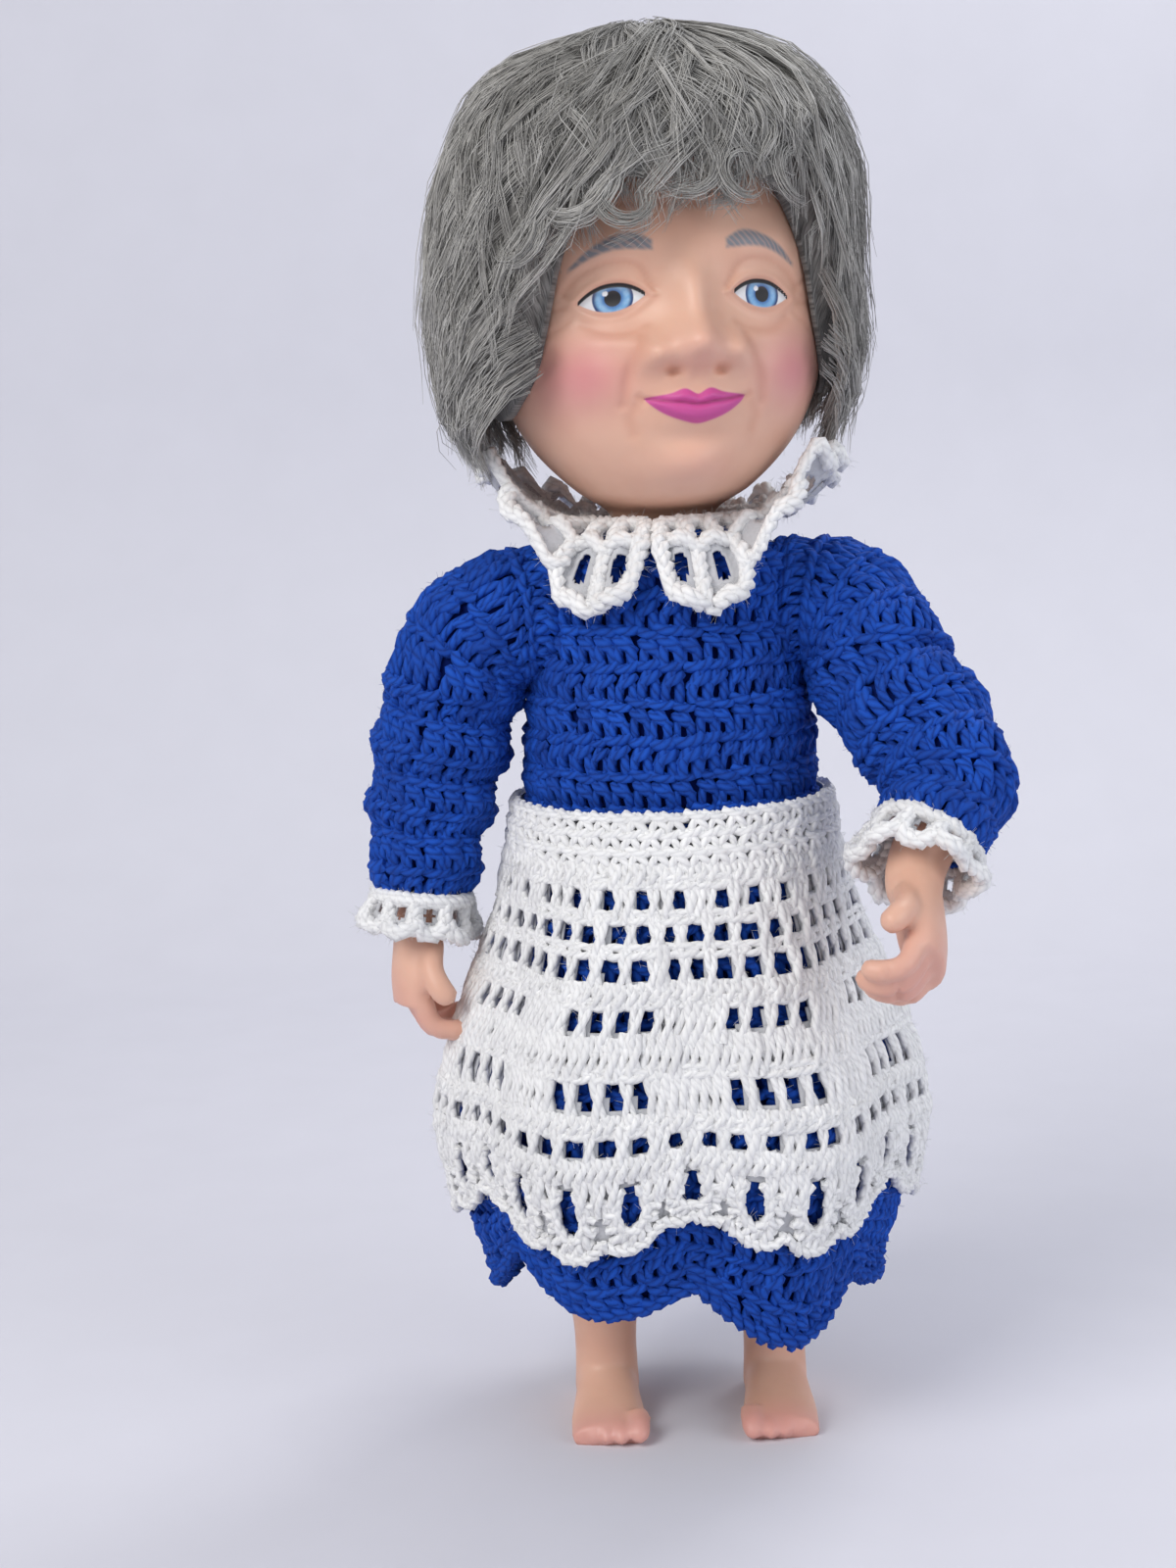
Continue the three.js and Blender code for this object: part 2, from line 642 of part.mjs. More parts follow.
// Arms: straight out of the joint, round the shoulder, then down to the wrist with the elbow bent forwards
const LIMBS = {
  left: { side: SIDES.left, swing: LEFT_ARM_SWING, bow: LEFT_ELBOW_OUT, run: LEFT_SLEEVE_RUN },
  right: { side: SIDES.right, swing: RIGHT_ARM_SWING, bow: RIGHT_ELBOW_OUT, run: RIGHT_SLEEVE_RUN },
};
const bendArc = ARM_BEND_RADIUS * rad(ARM_BEND);
const bendEnd = ARM_ROOT + bendArc;
const wristAt = bendEnd + FOREARM_RUN;
const elbowAt = bendEnd + FOREARM_RUN * 0.35;

function armPoint(limb, along) {
  const turn = THREE.MathUtils.clamp((along - ARM_ROOT) / ARM_BEND_RADIUS, 0, rad(ARM_BEND));
  const straight = Math.max(0, along - bendEnd);
  const forward = ELBOW_FORWARD * Math.max(0, (along - elbowAt) / (wristAt - elbowAt)) ** 1.5;
  const bow = limb.bow * Math.sin(Math.PI * Math.min(1, straight / FOREARM_RUN)) ** 2;
  return V(
    Math.min(along, ARM_ROOT) + ARM_BEND_RADIUS * Math.sin(turn) + straight * Math.cos(turn) + bow,
    -limb.side * forward,
    ARM_BEND_RADIUS * (Math.cos(turn) - 1) - straight * Math.sin(turn),
  );
}

// A ring square to the arm. The width across the palm runs forwards.
function armRing(limb, along, thick, wide, columns = LIMB_ROUND) {
  const step = 0.5;
  const tangent = armPoint(limb, along + step).sub(armPoint(limb, along - step)).normalize();
  const forward = V(0, -limb.side, 0);
  forward.addScaledVector(tangent, -forward.dot(tangent)).normalize();
  const across = V(0, 0, 0).crossVectors(forward, tangent);
  return range(columns).map((j) => {
    const angle = (j / columns) * 2 * Math.PI;
    return armPoint(limb, along)
      .addScaledVector(across, thick * Math.cos(angle))
      .addScaledVector(forward, wide * Math.sin(angle));
  });
}

const armRadius = through(
  [0, ARM_ROOT, bendEnd, elbowAt, wristAt],
  [SHOULDER_BALL, SHOULDER_BALL, UPPER_ARM, ELBOW_RADIUS, WRIST_RADIUS],
);

// A rounded finger from a place on the hand: along the arm, inwards to the palm and forwards to the thumb.
function finger(limb, start, direction, radius, length) {
  const base = armPoint(limb, start.along).add(V(-start.inwards, -limb.side * start.forward, 0));
  const heading = V(-direction.inwards, -limb.side * direction.forward, -1).normalize();
  const made = new THREE.CapsuleGeometry(radius, length, 2, 7).translate(0, length / 2, 0);
  made.applyQuaternion(new THREE.Quaternion().setFromUnitVectors(V(0, 1, 0), heading));
  return made.translate(base.x, base.y, base.z);
}

function hand(limb) {
  const palmEnd = wristAt + PALM_LENGTH;
  const palm = loft([
    armRing(limb, wristAt - 1, WRIST_RADIUS * 0.9, WRIST_RADIUS),
    armRing(limb, wristAt + PALM_LENGTH * 0.35, PALM_THICKNESS * 1.1, PALM_WIDTH * 0.86),
    armRing(limb, wristAt + PALM_LENGTH * 0.7, PALM_THICKNESS, PALM_WIDTH),
    armRing(limb, palmEnd, PALM_THICKNESS * 0.7, PALM_WIDTH * 0.85),
  ]);
  const fingers = range(4).map((i) => {
    const across = (1.5 - i) * ((2 * PALM_WIDTH - 2 * FINGER_RADIUS) / 3.2);
    const length = FINGER_LENGTH * [0.86, 1, 0.95, 0.76][i] - FINGER_RADIUS;
    const start = { along: palmEnd - FINGER_RADIUS, inwards: 0.5, forward: across };
    return finger(limb, start, { inwards: 0.4, forward: across * 0.008 }, FINGER_RADIUS, length);
  });
  const thumbStart = { along: wristAt + PALM_LENGTH * 0.3, inwards: 0, forward: PALM_WIDTH * 0.6 };
  const thumb = finger(limb, thumbStart, { inwards: 0.05, forward: 0.62 }, THUMB_RADIUS, THUMB_LENGTH);
  return joined(...[palm, ...fingers, thumb].map(solid));
}

function arm(limb) {
  const stops = spread(10, ARM_ROOT * 0.5, wristAt);
  const rings = stops.map((along) => armRing(limb, along, armRadius(along), armRadius(along)));
  const flange = flangeProfile(ARM_FLANGE, ARM_HOLE, 0);
  const shoulder = turned([...flange, [GAP, SHOULDER_BALL], [ARM_ROOT, SHOULDER_BALL], [ARM_ROOT, 0]], 20);
  return geometryOf(joined(solid(shoulder), solid(loft(rings)), hand(limb)));
}

// Legs: a round thigh cap on the hip axis, the leg below it, and a flat foot with toes
function legRing(down, wide, deep, side, forward = 0) {
  return range(LIMB_ROUND).map((j) => {
    const angle = (j / LIMB_ROUND) * 2 * Math.PI;
    return V(LEG_OUT + wide * Math.cos(angle), side * (deep * Math.sin(angle) - forward), -down);
  });
}

function foot(side) {
  const floor = HIP_Z;
  const outline = through(
    [-HEEL_BACK, -HEEL_BACK * 0.6, 0, TOE_FORWARD * 0.5, TOE_FORWARD - TOE_RADIUS],
    [FOOT_WIDTH * 0.35, FOOT_WIDTH * 0.78, FOOT_WIDTH * 0.82, FOOT_WIDTH * 0.97, FOOT_WIDTH],
  );
  const instep = through(
    [-HEEL_BACK, -HEEL_BACK * 0.5, 0, TOE_FORWARD * 0.5, TOE_FORWARD - TOE_RADIUS],
    [FOOT_HEIGHT * 0.55, FOOT_HEIGHT, FOOT_HEIGHT * 1.1, FOOT_HEIGHT * 0.62, TOE_RADIUS * 1.6],
  );
  const rings = spread(7, -HEEL_BACK, TOE_FORWARD - TOE_RADIUS).map((forward) =>
    range(LIMB_ROUND).map((j) => {
      const angle = ((j + 0.5) / LIMB_ROUND) * 2 * Math.PI;
      const up = Math.max(0, (Math.sin(angle) + 0.35) / 1.35) * instep(forward);
      return V(LEG_OUT + outline(forward) * Math.cos(angle), -side * forward, up - floor);
    }),
  );
  const toes = range(5).map((i) => {
    const radius = TOE_RADIUS * [1.28, 1, 0.95, 0.88, 0.8][i];
    const across = -FOOT_WIDTH + TOE_RADIUS + (i * 2 * (FOOT_WIDTH - TOE_RADIUS)) / 4;
    const toe = new THREE.CapsuleGeometry(radius, TOE_RADIUS * 2, 2, 7);
    const forward = TOE_FORWARD - radius - TOE_RADIUS - i * i * 0.25;
    return toe.translate(LEG_OUT + across, -side * forward, radius * 0.9 - floor);
  });
  const ground = new THREE.BoxGeometry(8 * FOOT_WIDTH, 8 * TOE_FORWARD, FOOT_HEIGHT);
  ground.translate(LEG_OUT, 0, -floor - FOOT_HEIGHT / 2);
  return cut(joined(solid(loft(rings)), ...toes.map(solid)), solid(ground));
}

function leg(side) {
  const ankle = HIP_Z - ANKLE_UP;
  const radius = through(
    [THIGH_RADIUS * 0.4, ankle * 0.25, ankle * 0.55, ankle * 0.72, ankle, HIP_Z - FOOT_HEIGHT * 0.5],
    [THIGH_RADIUS * 0.9, THIGH_RADIUS, KNEE_RADIUS, CALF_RADIUS, ANKLE_RADIUS, ANKLE_RADIUS * 0.96],
  );
  const outerHalf = Math.min(LEG_OUT, THIGH_CAP - LEG_OUT) - 2 * GAP;
  const rings = spread(11, THIGH_RADIUS * 0.4, HIP_Z - FOOT_HEIGHT * 0.5).map((down) => {
    const room = down < THIGH_BALL ? outerHalf : LEG_OUT + HIP_FLAT - 2 * GAP;
    return legRing(down, Math.min(radius(down), room), radius(down), side);
  });
  const cap = [
    [GAP, THIGH_BALL],
    [THIGH_CAP * 0.7, THIGH_BALL],
    [THIGH_CAP * 0.92, THIGH_BALL * 0.86],
    [THIGH_CAP, THIGH_BALL * 0.6],
    [THIGH_CAP, 0],
  ];
  const hip = turned([...flangeProfile(LEG_FLANGE, LEG_HOLE, 0), ...cap], 28);
  return geometryOf(joined(solid(hip), solid(loft(rings)), foot(side)));
}

// Bodice: follows the torso to square shoulders, open at the neck, the waist, the armholes and down the back
const bodiceTop = NECK_Z + EASE + CLOTH + NECK_STAND;

function bodice() {
  const levels = spread(6, WAIST_Z, SHOULDER_Z);
  const rings = (offset) => [
    ...levels.map((z) => oval(z, torsoWidth(z) + offset, torsoDepth(z) + offset)),
    oval(NECK_Z - GAP + offset, SHOULDER_WIDTH + offset, COLLARBONE_DEPTH - GAP + offset),
    oval(NECK_Z + GAP + offset, NECKLINE + (offset - EASE) / 2, NECKLINE + (offset - EASE) / 2),
    oval(bodiceTop, NECKLINE + (offset - EASE) / 2, NECKLINE + (offset - EASE) / 2),
  ];
  const shell = solid(tube(rings(EASE + CLOTH), rings(EASE)));
  const armholes = Object.values(SIDES).map((side) => {
    return solid(placed(rod(-VINYL_WALL, 3 * CHEST_WIDTH, ARMHOLE), armFrame(side)));
  });
  const slit = new THREE.BoxGeometry(PLACKET, 4 * CHEST_DEPTH, 4 * SHOULDER_Z);
  slit.translate(0, 2 * CHEST_DEPTH, 0);
  return geometryOf(cut(shell, ...armholes, solid(slit)));
}

// Sleeves and cuffs: tubes round the arm, from just outside the bodice
const sleeveRadius = through(
  [0, bendEnd, bendEnd + FOREARM_RUN * 0.4, wristAt],
  [SLEEVE_TOP, SLEEVE_TOP, SLEEVE_ELBOW, SLEEVE_END],
);

function sleeve(limb) {
  const stops = spread(8, ARM_ROOT + GAP, bendEnd + limb.run);
  const rings = (inset) => stops.map((along) => {
    return armRing(limb, along, sleeveRadius(along) - inset, sleeveRadius(along) - inset, SLEEVE_ROUND);
  });
  return tube(rings(0), rings(CLOTH));
}

function cuff(limb) {
  const start = bendEnd + limb.run + GAP;
  const columns = CUFF_WAVES * 4;
  const rings = (inset) =>
    spread(3, 0, 1).map((share) => {
      const along = start + share * CUFF_LENGTH;
      const plain = sleeveRadius(start) - inset + share * CUFF_FLARE;
      const ripple = (share * CUFF_FLARE * 0.5) / plain;
      const wave = (j) => 1 + ripple * Math.cos((j / columns) * 2 * Math.PI * CUFF_WAVES);
      const centre = armPoint(limb, along);
      const ring = armRing(limb, along, plain, plain, columns);
      return ring.map((p, j) => p.sub(centre).multiplyScalar(wave(j)).add(centre));
    });
  return tube(rings(0), rings(CUFF_THICKNESS));
}

// Collar: a ruffle from the neck, lying on the chest in front and standing up at the sides
function collarHalf(side) {
  const columns = COLLAR_RUFFLES * 3 - 2;
  const flat = 0.1; // share of the reach that lies level on the bodice's edge
  const around = spread(columns, rad(COLLAR_SPLIT), Math.PI - rad(COLLAR_SPLIT));
  const grid = (lift) =>
    [0, ...spread(4, flat, 1)].map((share) =>
      around.map((angle) => {
        const frontness = 1 - THREE.MathUtils.smoothstep(angle, rad(COLLAR_LEVEL), rad(COLLAR_UPRIGHT));
        const backness = Math.max(0, -Math.cos(angle));
        const pick = (front, edge, back) => {
          return edge + (front - edge) * frontness + (back - edge) * backness;
        };
        const full = THREE.MathUtils.smoothstep(angle, 0, rad(COLLAR_CORNER));
        const widest = pick(COLLAR_FRONT_REACH, COLLAR_SIDE_REACH, COLLAR_BACK_REACH);
        const highest = pick(-COLLAR_FRONT_DROP, COLLAR_SIDE_RISE, COLLAR_BACK_RISE);
        const reach = lerp(COLLAR_CORNER_REACH, widest, full);
        const rise = lerp(COLLAR_CORNER_RISE, highest, full);
        const out = Math.max(0, share - flat) / (1 - flat);
        const ruffle = COLLAR_RUFFLE * out * Math.cos(angle * 2 * COLLAR_RUFFLES);
        const radius = lerp(NECKLINE, reach, share);
        const z = lerp(bodiceTop + GAP, NECK_Z + rise, out ** 2) + ruffle + lift;
        return V(side * radius * Math.sin(angle), -radius * Math.cos(angle), z);
      }),
    );
  return placed(slab(grid(COLLAR_THICKNESS), grid(0)), turnZ(rad(COLLAR_TURN)));
}

// Skirt, waistband and apron share one flared outline
const skirtHeights = [
  WAIST_Z - SKIRT_LENGTH,
  WAIST_Z - SKIRT_WIDE_DROP,
  WAIST_Z - SKIRT_HIP_DROP,
  WAIST_Z - GAP,
];
const skirtWidths = [SKIRT_HEM_WIDTH, SKIRT_WIDE_WIDTH, SKIRT_HIP_WIDTH, WAIST_WIDTH + EASE + CLOTH];
const skirtDepths = [SKIRT_HEM_DEPTH, SKIRT_WIDE_DEPTH, SKIRT_HIP_DEPTH, WAIST_DEPTH + EASE + CLOTH];
const skirtWidth = through(skirtHeights, skirtWidths);
const skirtDepth = through(skirtHeights, skirtDepths);
const hang = (z) => THREE.MathUtils.clamp((WAIST_Z - WAISTBAND_HEIGHT - z) / SKIRT_HIP_DROP, 0, 1);

// A point of the flared outline. The angle runs from the front towards the doll's left.
function skirtPoint(z, angle, offset) {
  const fold = -SKIRT_FOLD_DEPTH * hang(z) * Math.cos(angle * SKIRT_FOLDS);
  const out = offset + fold;
  return V((skirtWidth(z) + out) * Math.sin(angle), -(skirtDepth(z) + out) * Math.cos(angle), z);
}

// How far the edge of a hem hangs down at an angle, with lobes and a little lower on the left.
const lobes = (angle) => HEM_LOBE_DEPTH * (Math.abs(Math.sin((angle * HEM_LOBES) / 2)) - 0.5);
const hemDrop = (angle) => lobes(angle) + HEM_TILT * Math.sin(2 * angle);

function skirt() {
  const columns = HEM_LOBES * 7;
  const rings = (offset) =>
    spread(7, 0, 1).map((share) =>
      range(columns).map((j) => {
        const angle = (j / columns) * 2 * Math.PI;
        const length = SKIRT_LENGTH - GAP - HEM_LOBE_DEPTH + hemDrop(angle) * share ** 4;
        return skirtPoint(WAIST_Z - GAP - share * length, angle, offset);
      }),
    );
  return tube(rings(0), rings(-CLOTH));
}

function waistband() {
  const top = WAIST_Z - 2 * GAP;
  const rings = (offset) =>
    spread(3, top - WAISTBAND_HEIGHT, top).map((z) =>
      range(ROUND).map((j) => skirtPoint(z, (j / ROUND) * 2 * Math.PI, offset)),
    );
  return tube(rings(APRON_EASE + CLOTH), rings(APRON_EASE));
}

function apron() {
  const columns = APRON_SCALLOPS * 2 + 1;
  const top = WAIST_Z - WAISTBAND_HEIGHT - 3 * GAP;
  const around = spread(columns, -rad(APRON_WRAP), rad(APRON_WRAP));
  const scallop = (share) => APRON_SCALLOP * Math.abs(Math.sin(share * Math.PI * APRON_SCALLOPS));
  const grid = (offset) =>
    spread(7, 0, 1).map((share) =>
      around.map((angle, j) => {
        const edge = lobes(angle) + scallop(j / (columns - 1));
        const length = top - (WAIST_Z - APRON_LENGTH) + edge * share ** 4;
        return skirtPoint(top - share * length, angle, offset);
      }),
    );
  return slab(grid(APRON_EASE + CLOTH), grid(APRON_EASE));
}

// Buttons: four-hole discs on the back, flat against the cloth
function button(z, surface) {
  const disc = turned(
    [
      [0, 0],
      [0, BUTTON_RADIUS],
      [BUTTON_THICKNESS, BUTTON_RADIUS],
      [BUTTON_THICKNESS, BUTTON_RADIUS * 0.78],
      [BUTTON_THICKNESS * 0.7, BUTTON_RADIUS * 0.66],
      [BUTTON_THICKNESS * 0.7, 0],
    ],
    12,
  );
  const holes = range(4).map((i) => {
    const angle = (i + 0.5) * (Math.PI / 2);
    const out = BUTTON_RADIUS * 0.3;
    const hole = rod(-BUTTON_THICKNESS, 2 * BUTTON_THICKNESS, BUTTON_HOLE, 4);
    return solid(hole.translate(0, out * Math.cos(angle), out * Math.sin(angle)));
  });
  const made = geometryOf(cut(solid(disc), ...holes));
  return placed(made, shift(0, surface + GAP, z).multiply(turnZ(Math.PI / 2)));
}

// The furthest back that the cloth reaches within a button's height.
const backAt = (depth, z) => Math.max(...spread(5, z - BUTTON_RADIUS, z + BUTTON_RADIUS).map(depth));

// Materials
const finish = (color, roughness) => new THREE.MeshStandardMaterial({ color, roughness, metalness: 0 });
const materials = {
  vinyl: finish("#e0b193", 0.5),
  hair: finish("#8f8f88", 0.6),
  netting: finish("#6d6d69", 0.9),
  blue: finish("#1440b4", 0.9),
  white: finish("#e9e8e6", 0.9),
  button: finish("#f2f0ea", 0.35),
};

function piece(name, geometry, material) {
  const made = new THREE.Mesh(geometry, materials[material]);
  made.name = name;
  return made;
}

function group(parent, matrix) {
  const made = new THREE.Group();
  made.applyMatrix4(matrix);
  parent.add(made);
  return made;
}

// Assembly
const figure = new THREE.Group();
figure.add(piece("torso", torso(), "vinyl"));
figure.add(piece("bodice", bodice(), "blue"));
figure.add(piece("skirt", skirt(), "blue"));
figure.add(piece("waistband", waistband(), "white"));
figure.add(piece("apron", apron(), "white"));

for (const [name, side] of Object.entries(SIDES)) {
  figure.add(piece(`${name}_collar`, collarHalf(side), "white"));
  group(figure, legFrame(side)).add(piece(`${name}_leg`, leg(side), "vinyl"));
  const limb = LIMBS[name];
  const swung = new THREE.Matrix4().makeRotationX(-side * rad(limb.swing));
  group(figure, armFrame(side).multiply(swung)).add(
    piece(`${name}_arm`, arm(limb), "vinyl"),
    piece(`${name}_sleeve`, sleeve(limb), "blue"),
    piece(`${name}_cuff`, cuff(limb), "white"),
  );
}

const headGroup = group(figure, shift(0, 0, NECK_Z).multiply(turnZ(rad(HEAD_TURN))));
headGroup.add(piece("head", head(), "vinyl"));
headGroup.add(piece("wig_cap", wigCap(), "netting"));
for (const [name, make] of Object.entries(wefts)) headGroup.add(piece(name, make(), "hair"));

range(BUTTONS_DOWN_BACK).forEach((i) => {
  const z = NECK_Z - SHOULDER_DROP - BUTTON_RADIUS - 2 * GAP - i * BUTTON_SPACING;
  const surface = backAt((at) => torsoDepth(at) + EASE + CLOTH, z);
  figure.add(piece(`back_button_${i + 1}`, button(z, surface), "button"));
});
const bandMiddle = WAIST_Z - 2 * GAP - WAISTBAND_HEIGHT / 2;
const bandBack = backAt((at) => skirtPoint(at, Math.PI, APRON_EASE + CLOTH).y, bandMiddle);
figure.add(piece("waistband_button", button(bandMiddle, bandBack), "button"));

const doll = new THREE.Group();
doll.add(figure);
const box = new THREE.Box3().setFromObject(figure, true);
const centre = box.getCenter(V(0, 0, 0));
figure.position.set(-centre.x, -centre.y, -box.min.z);

export default doll;
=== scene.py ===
"""Dressed grandmother doll: painted vinyl, a fibre wig and crocheted yarn, on the frame of its solids."""

import json
import logging
from dataclasses import dataclass
from enum import Enum
from math import asin, cos, pi, radians, sin
from typing import Callable, Iterable, Optional, Sequence, Union

import bpy
import numpy as np
from mathutils import Matrix, Vector


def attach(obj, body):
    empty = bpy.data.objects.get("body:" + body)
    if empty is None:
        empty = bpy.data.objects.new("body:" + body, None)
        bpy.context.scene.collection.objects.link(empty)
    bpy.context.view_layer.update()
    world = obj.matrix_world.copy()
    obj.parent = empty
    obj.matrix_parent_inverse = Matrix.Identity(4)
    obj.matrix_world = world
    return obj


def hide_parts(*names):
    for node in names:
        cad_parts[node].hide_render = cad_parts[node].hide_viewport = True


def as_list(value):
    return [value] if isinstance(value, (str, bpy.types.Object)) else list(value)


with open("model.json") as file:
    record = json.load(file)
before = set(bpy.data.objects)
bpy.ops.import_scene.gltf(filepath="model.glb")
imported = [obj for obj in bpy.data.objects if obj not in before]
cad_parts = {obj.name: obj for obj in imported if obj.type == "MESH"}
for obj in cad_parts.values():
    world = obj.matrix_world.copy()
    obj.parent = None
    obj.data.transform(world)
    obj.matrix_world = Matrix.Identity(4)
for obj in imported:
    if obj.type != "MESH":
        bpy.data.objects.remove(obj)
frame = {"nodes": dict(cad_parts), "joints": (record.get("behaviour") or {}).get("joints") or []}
for spare in ("Cube", "Light", "Camera"):
    if spare in bpy.data.objects and spare not in frame["nodes"]:
        bpy.data.objects.remove(bpy.data.objects[spare])
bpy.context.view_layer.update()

Array = np.ndarray
Material = bpy.types.Material
Node = bpy.types.Node
NodeTree = bpy.types.NodeTree
Piece = bpy.types.Object
Socket = bpy.types.NodeSocket
Colour = tuple[float, float, float]
Span = tuple[float, float]
Numbers = Sequence[float]
Level = Union[float, Array]
Surface = Callable[[Array, Level, Level], Array]
Keep = Callable[[Array, Array], Array]
Steps = tuple[float, float, int]
MM = 0.001
TAU = 2 * pi
AXIS = np.array([*next(j for j in frame["joints"] if j["name"] == "neck_turn")["pos_m"][:2], 0.0]) / MM
NECK_Z = 240.0
WAIST_Z = 178.0
SHOULDER_X = 29.0
SHOULDER_Z = 227.0
HIP_Z = 128.0
log = logging.getLogger("doll")


def smooth(value: Array, low: float, high: float) -> Array:
    """Rises smoothly from 0 at low to 1 at high."""
    t = np.clip((np.asarray(value, float) - low) / (high - low), 0, 1)
    return t * t * (3 - 2 * t)


def hill(value: Array, centre: float, spread: float) -> Array:
    """A round hill of height 1."""
    return np.exp(-(((np.asarray(value, float) - centre) / spread) ** 2))


def unit(vectors: Array) -> Array:
    """Vectors of length 1."""
    return vectors / np.maximum(np.linalg.norm(vectors, axis=-1, keepdims=True), 1e-9)


def srgb(*screen: int) -> Colour:
    """Turns screen values from 0 to 255 into linear light."""
    shares = (value / 255 for value in screen)
    return tuple(c / 12.92 if c < 0.04 else ((c + 0.055) / 1.055) ** 2.4 for c in shares)


def rotation(degrees: float, axis: str = "Z") -> Array:
    """A turn about an axis."""
    return np.array(Matrix.Rotation(radians(degrees), 3, axis))


def stacked(*parts: object) -> Array:
    """Coordinates side by side, spread to one shape."""
    return np.stack(np.broadcast_arrays(*parts), axis=-1)


def circle(count: int) -> Array:
    """Evenly spread angles of a full turn."""
    return np.arange(count) * TAU / count


def middles(start: float, span: float, count: int) -> Array:
    """Middles of equal parts of a span."""
    return start + (np.arange(count) + 0.5) * span / count


def strides(points: Array, axis: int = 0) -> Array:
    """Distances between neighbours along an axis."""
    return np.linalg.norm(np.diff(points, axis=axis), axis=-1)


def metres(points: Array) -> Array:
    """Places in the scene of points in millimetres about the body's axis."""
    return (points + AXIS) * MM


def linked(name: str, data: bpy.types.ID) -> Piece:
    """A new object in the scene."""
    made = bpy.data.objects.new(name, data)
    bpy.context.scene.collection.objects.link(made)
    return made


@dataclass(frozen=True)
class Profile:
    """A smooth curve through measured stations."""

    places: Numbers
    values: Numbers

    def __call__(self, at: Array) -> Array:
        """The curve's values.

        Args:
            at: Places along the curve, held to its ends.
        Returns:
            A value for each place.
        """
        t, v = np.asarray(self.places, float), np.asarray(self.values, float)
        at = np.clip(np.asarray(at, float), t[0], t[-1])
        i = np.clip(np.searchsorted(t, at, side="right") - 1, 0, len(t) - 2)
        before = np.where(i > 0, i - 1, 1)
        after = np.where(i < len(t) - 2, np.minimum(i + 2, len(t) - 1), len(t) - 2)
        half = (t[i + 1] - t[i]) / 2
        wp, wn = half / (t[i] - t[before]), half / (t[after] - t[i + 1])
        p = (at - t[i]) / (t[i + 1] - t[i])
        q, r = p * p, p * p * p
        return (
            v[before] * (-wp * r + 2 * wp * q - wp * p)
            + v[i] * ((1 + wp) * r + (-1.5 - 2 * wp) * q + (-0.5 + wp) * p + 1)
            + v[i + 1] * ((-1 - wn) * r + (1.5 + wn) * q + 0.5 * p)
            + v[after] * (wn * r - wn * q)
        )


def through(points: Array, count: int) -> Array:
    """A path resampled smoothly to a count of points, evenly spread over its own steps."""
    points = np.asarray(points, float)
    steps = np.arange(len(points))
    at = np.linspace(0, len(points) - 1, count)
    return np.stack([Profile(steps, points[:, k])(at) for k in range(points.shape[1])], axis=1)


class Mesh:
    """Gathers points, faces and named values, and turns them into one object of the scene."""

    def __init__(self) -> None:
        """Starts empty."""
        self.points: list[Array] = []
        self.faces: list[tuple[int, ...]] = []
        self.count = 0

    def add(self, points: Array, faces: Iterable[Sequence[int]]) -> "Mesh":
        """Adds points and the faces between them."""
        self.faces.extend(tuple(int(i) + self.count for i in face) for face in faces)
        self.points.append(np.asarray(points, float).reshape(-1, 3))
        self.count += len(self.points[-1])
        return self

    def grid(self, rings: Array, closed: bool = True) -> "Mesh":
        """Joins rings by bands of quads.

        Args:
            rings: Points by ring, place in the ring and coordinate.
            closed: Whether each ring closes on itself.
        Returns:
            This mesh.
        """
        rows, columns = rings.shape[:2]
        i, j = np.meshgrid(np.arange(rows - 1), np.arange(columns if closed else columns - 1), indexing="ij")
        here, beside = i * columns + j, i * columns + (j + 1) % columns
        return self.add(rings, stacked(here, beside, beside + columns, here + columns).reshape(-1, 4))

    def tube(self, rings: Array) -> "Mesh":
        """Joins rings into a closed body with caps of triangles.

        Args:
            rings: Points by ring, place in the ring and coordinate.
        Returns:
            This mesh.
        """
        rows, columns = rings.shape[:2]
        first = self.count
        self.grid(rings)
        for row, turn in ((0, -1), (rows - 1, 1)):
            base, middle = first + row * columns, self.count
            self.points.append(rings[row].mean(axis=0)[None])
            self.count += 1
            ring = [base + j for j in range(columns)][::turn]
            self.faces.extend((middle, ring[j], ring[(j + 1) % columns]) for j in range(columns))
        return self

    def sheet(self, outer: Array, inner: Array, keep: Array) -> "Mesh":
        """A thin wall between two grids, closed all round and made only where it is kept.

        Args:
            outer: Outer face by row, column and coordinate.
            inner: Inner face, laid out alike.
            keep: Whether each square of the grid is made.
        Returns:
            This mesh.
        """
        rows, columns = outer.shape[:2]
        solid, faces = np.pad(keep, 1), []
        for i, j in np.argwhere(keep):
            front = [r * columns + c for r, c in ((i, j), (i, j + 1), (i + 1, j + 1), (i + 1, j))]
            back = [k + rows * columns for k in front]
            faces += [front, back[::-1]]
            for k, beside in enumerate(((i, j + 1), (i + 1, j + 2), (i + 2, j + 1), (i + 1, j))):
                if not solid[beside]:
                    n = (k + 1) % 4
                    faces.append([front[n], front[k], back[k], back[n]])
        across, down = outer[:-1, 1:] - outer[:-1, :-1], outer[1:, :-1] - outer[:-1, :-1]
        facing = (np.cross(across, down) * (outer - inner)[:-1, :-1]).sum(axis=-1)[keep].mean()
        used, index = np.unique(np.array(faces), return_inverse=True)
        index = index.reshape(-1, 4)
        points = np.concatenate([outer.reshape(-1, 3), inner.reshape(-1, 3)])[used]
        return self.add(points, index if facing > 0 else index[:, ::-1])

    def object(self, name: str, material: Material) -> Piece:
        """The gathered points and faces as an object of the scene."""
        data = bpy.data.meshes.new(name)
        data.from_pydata(metres(np.concatenate(self.points)).tolist(), [], self.faces)
        data.polygons.foreach_set("use_smooth", [True] * len(data.polygons))
        data.update()
        data.materials.append(material)
        return linked(name, data)


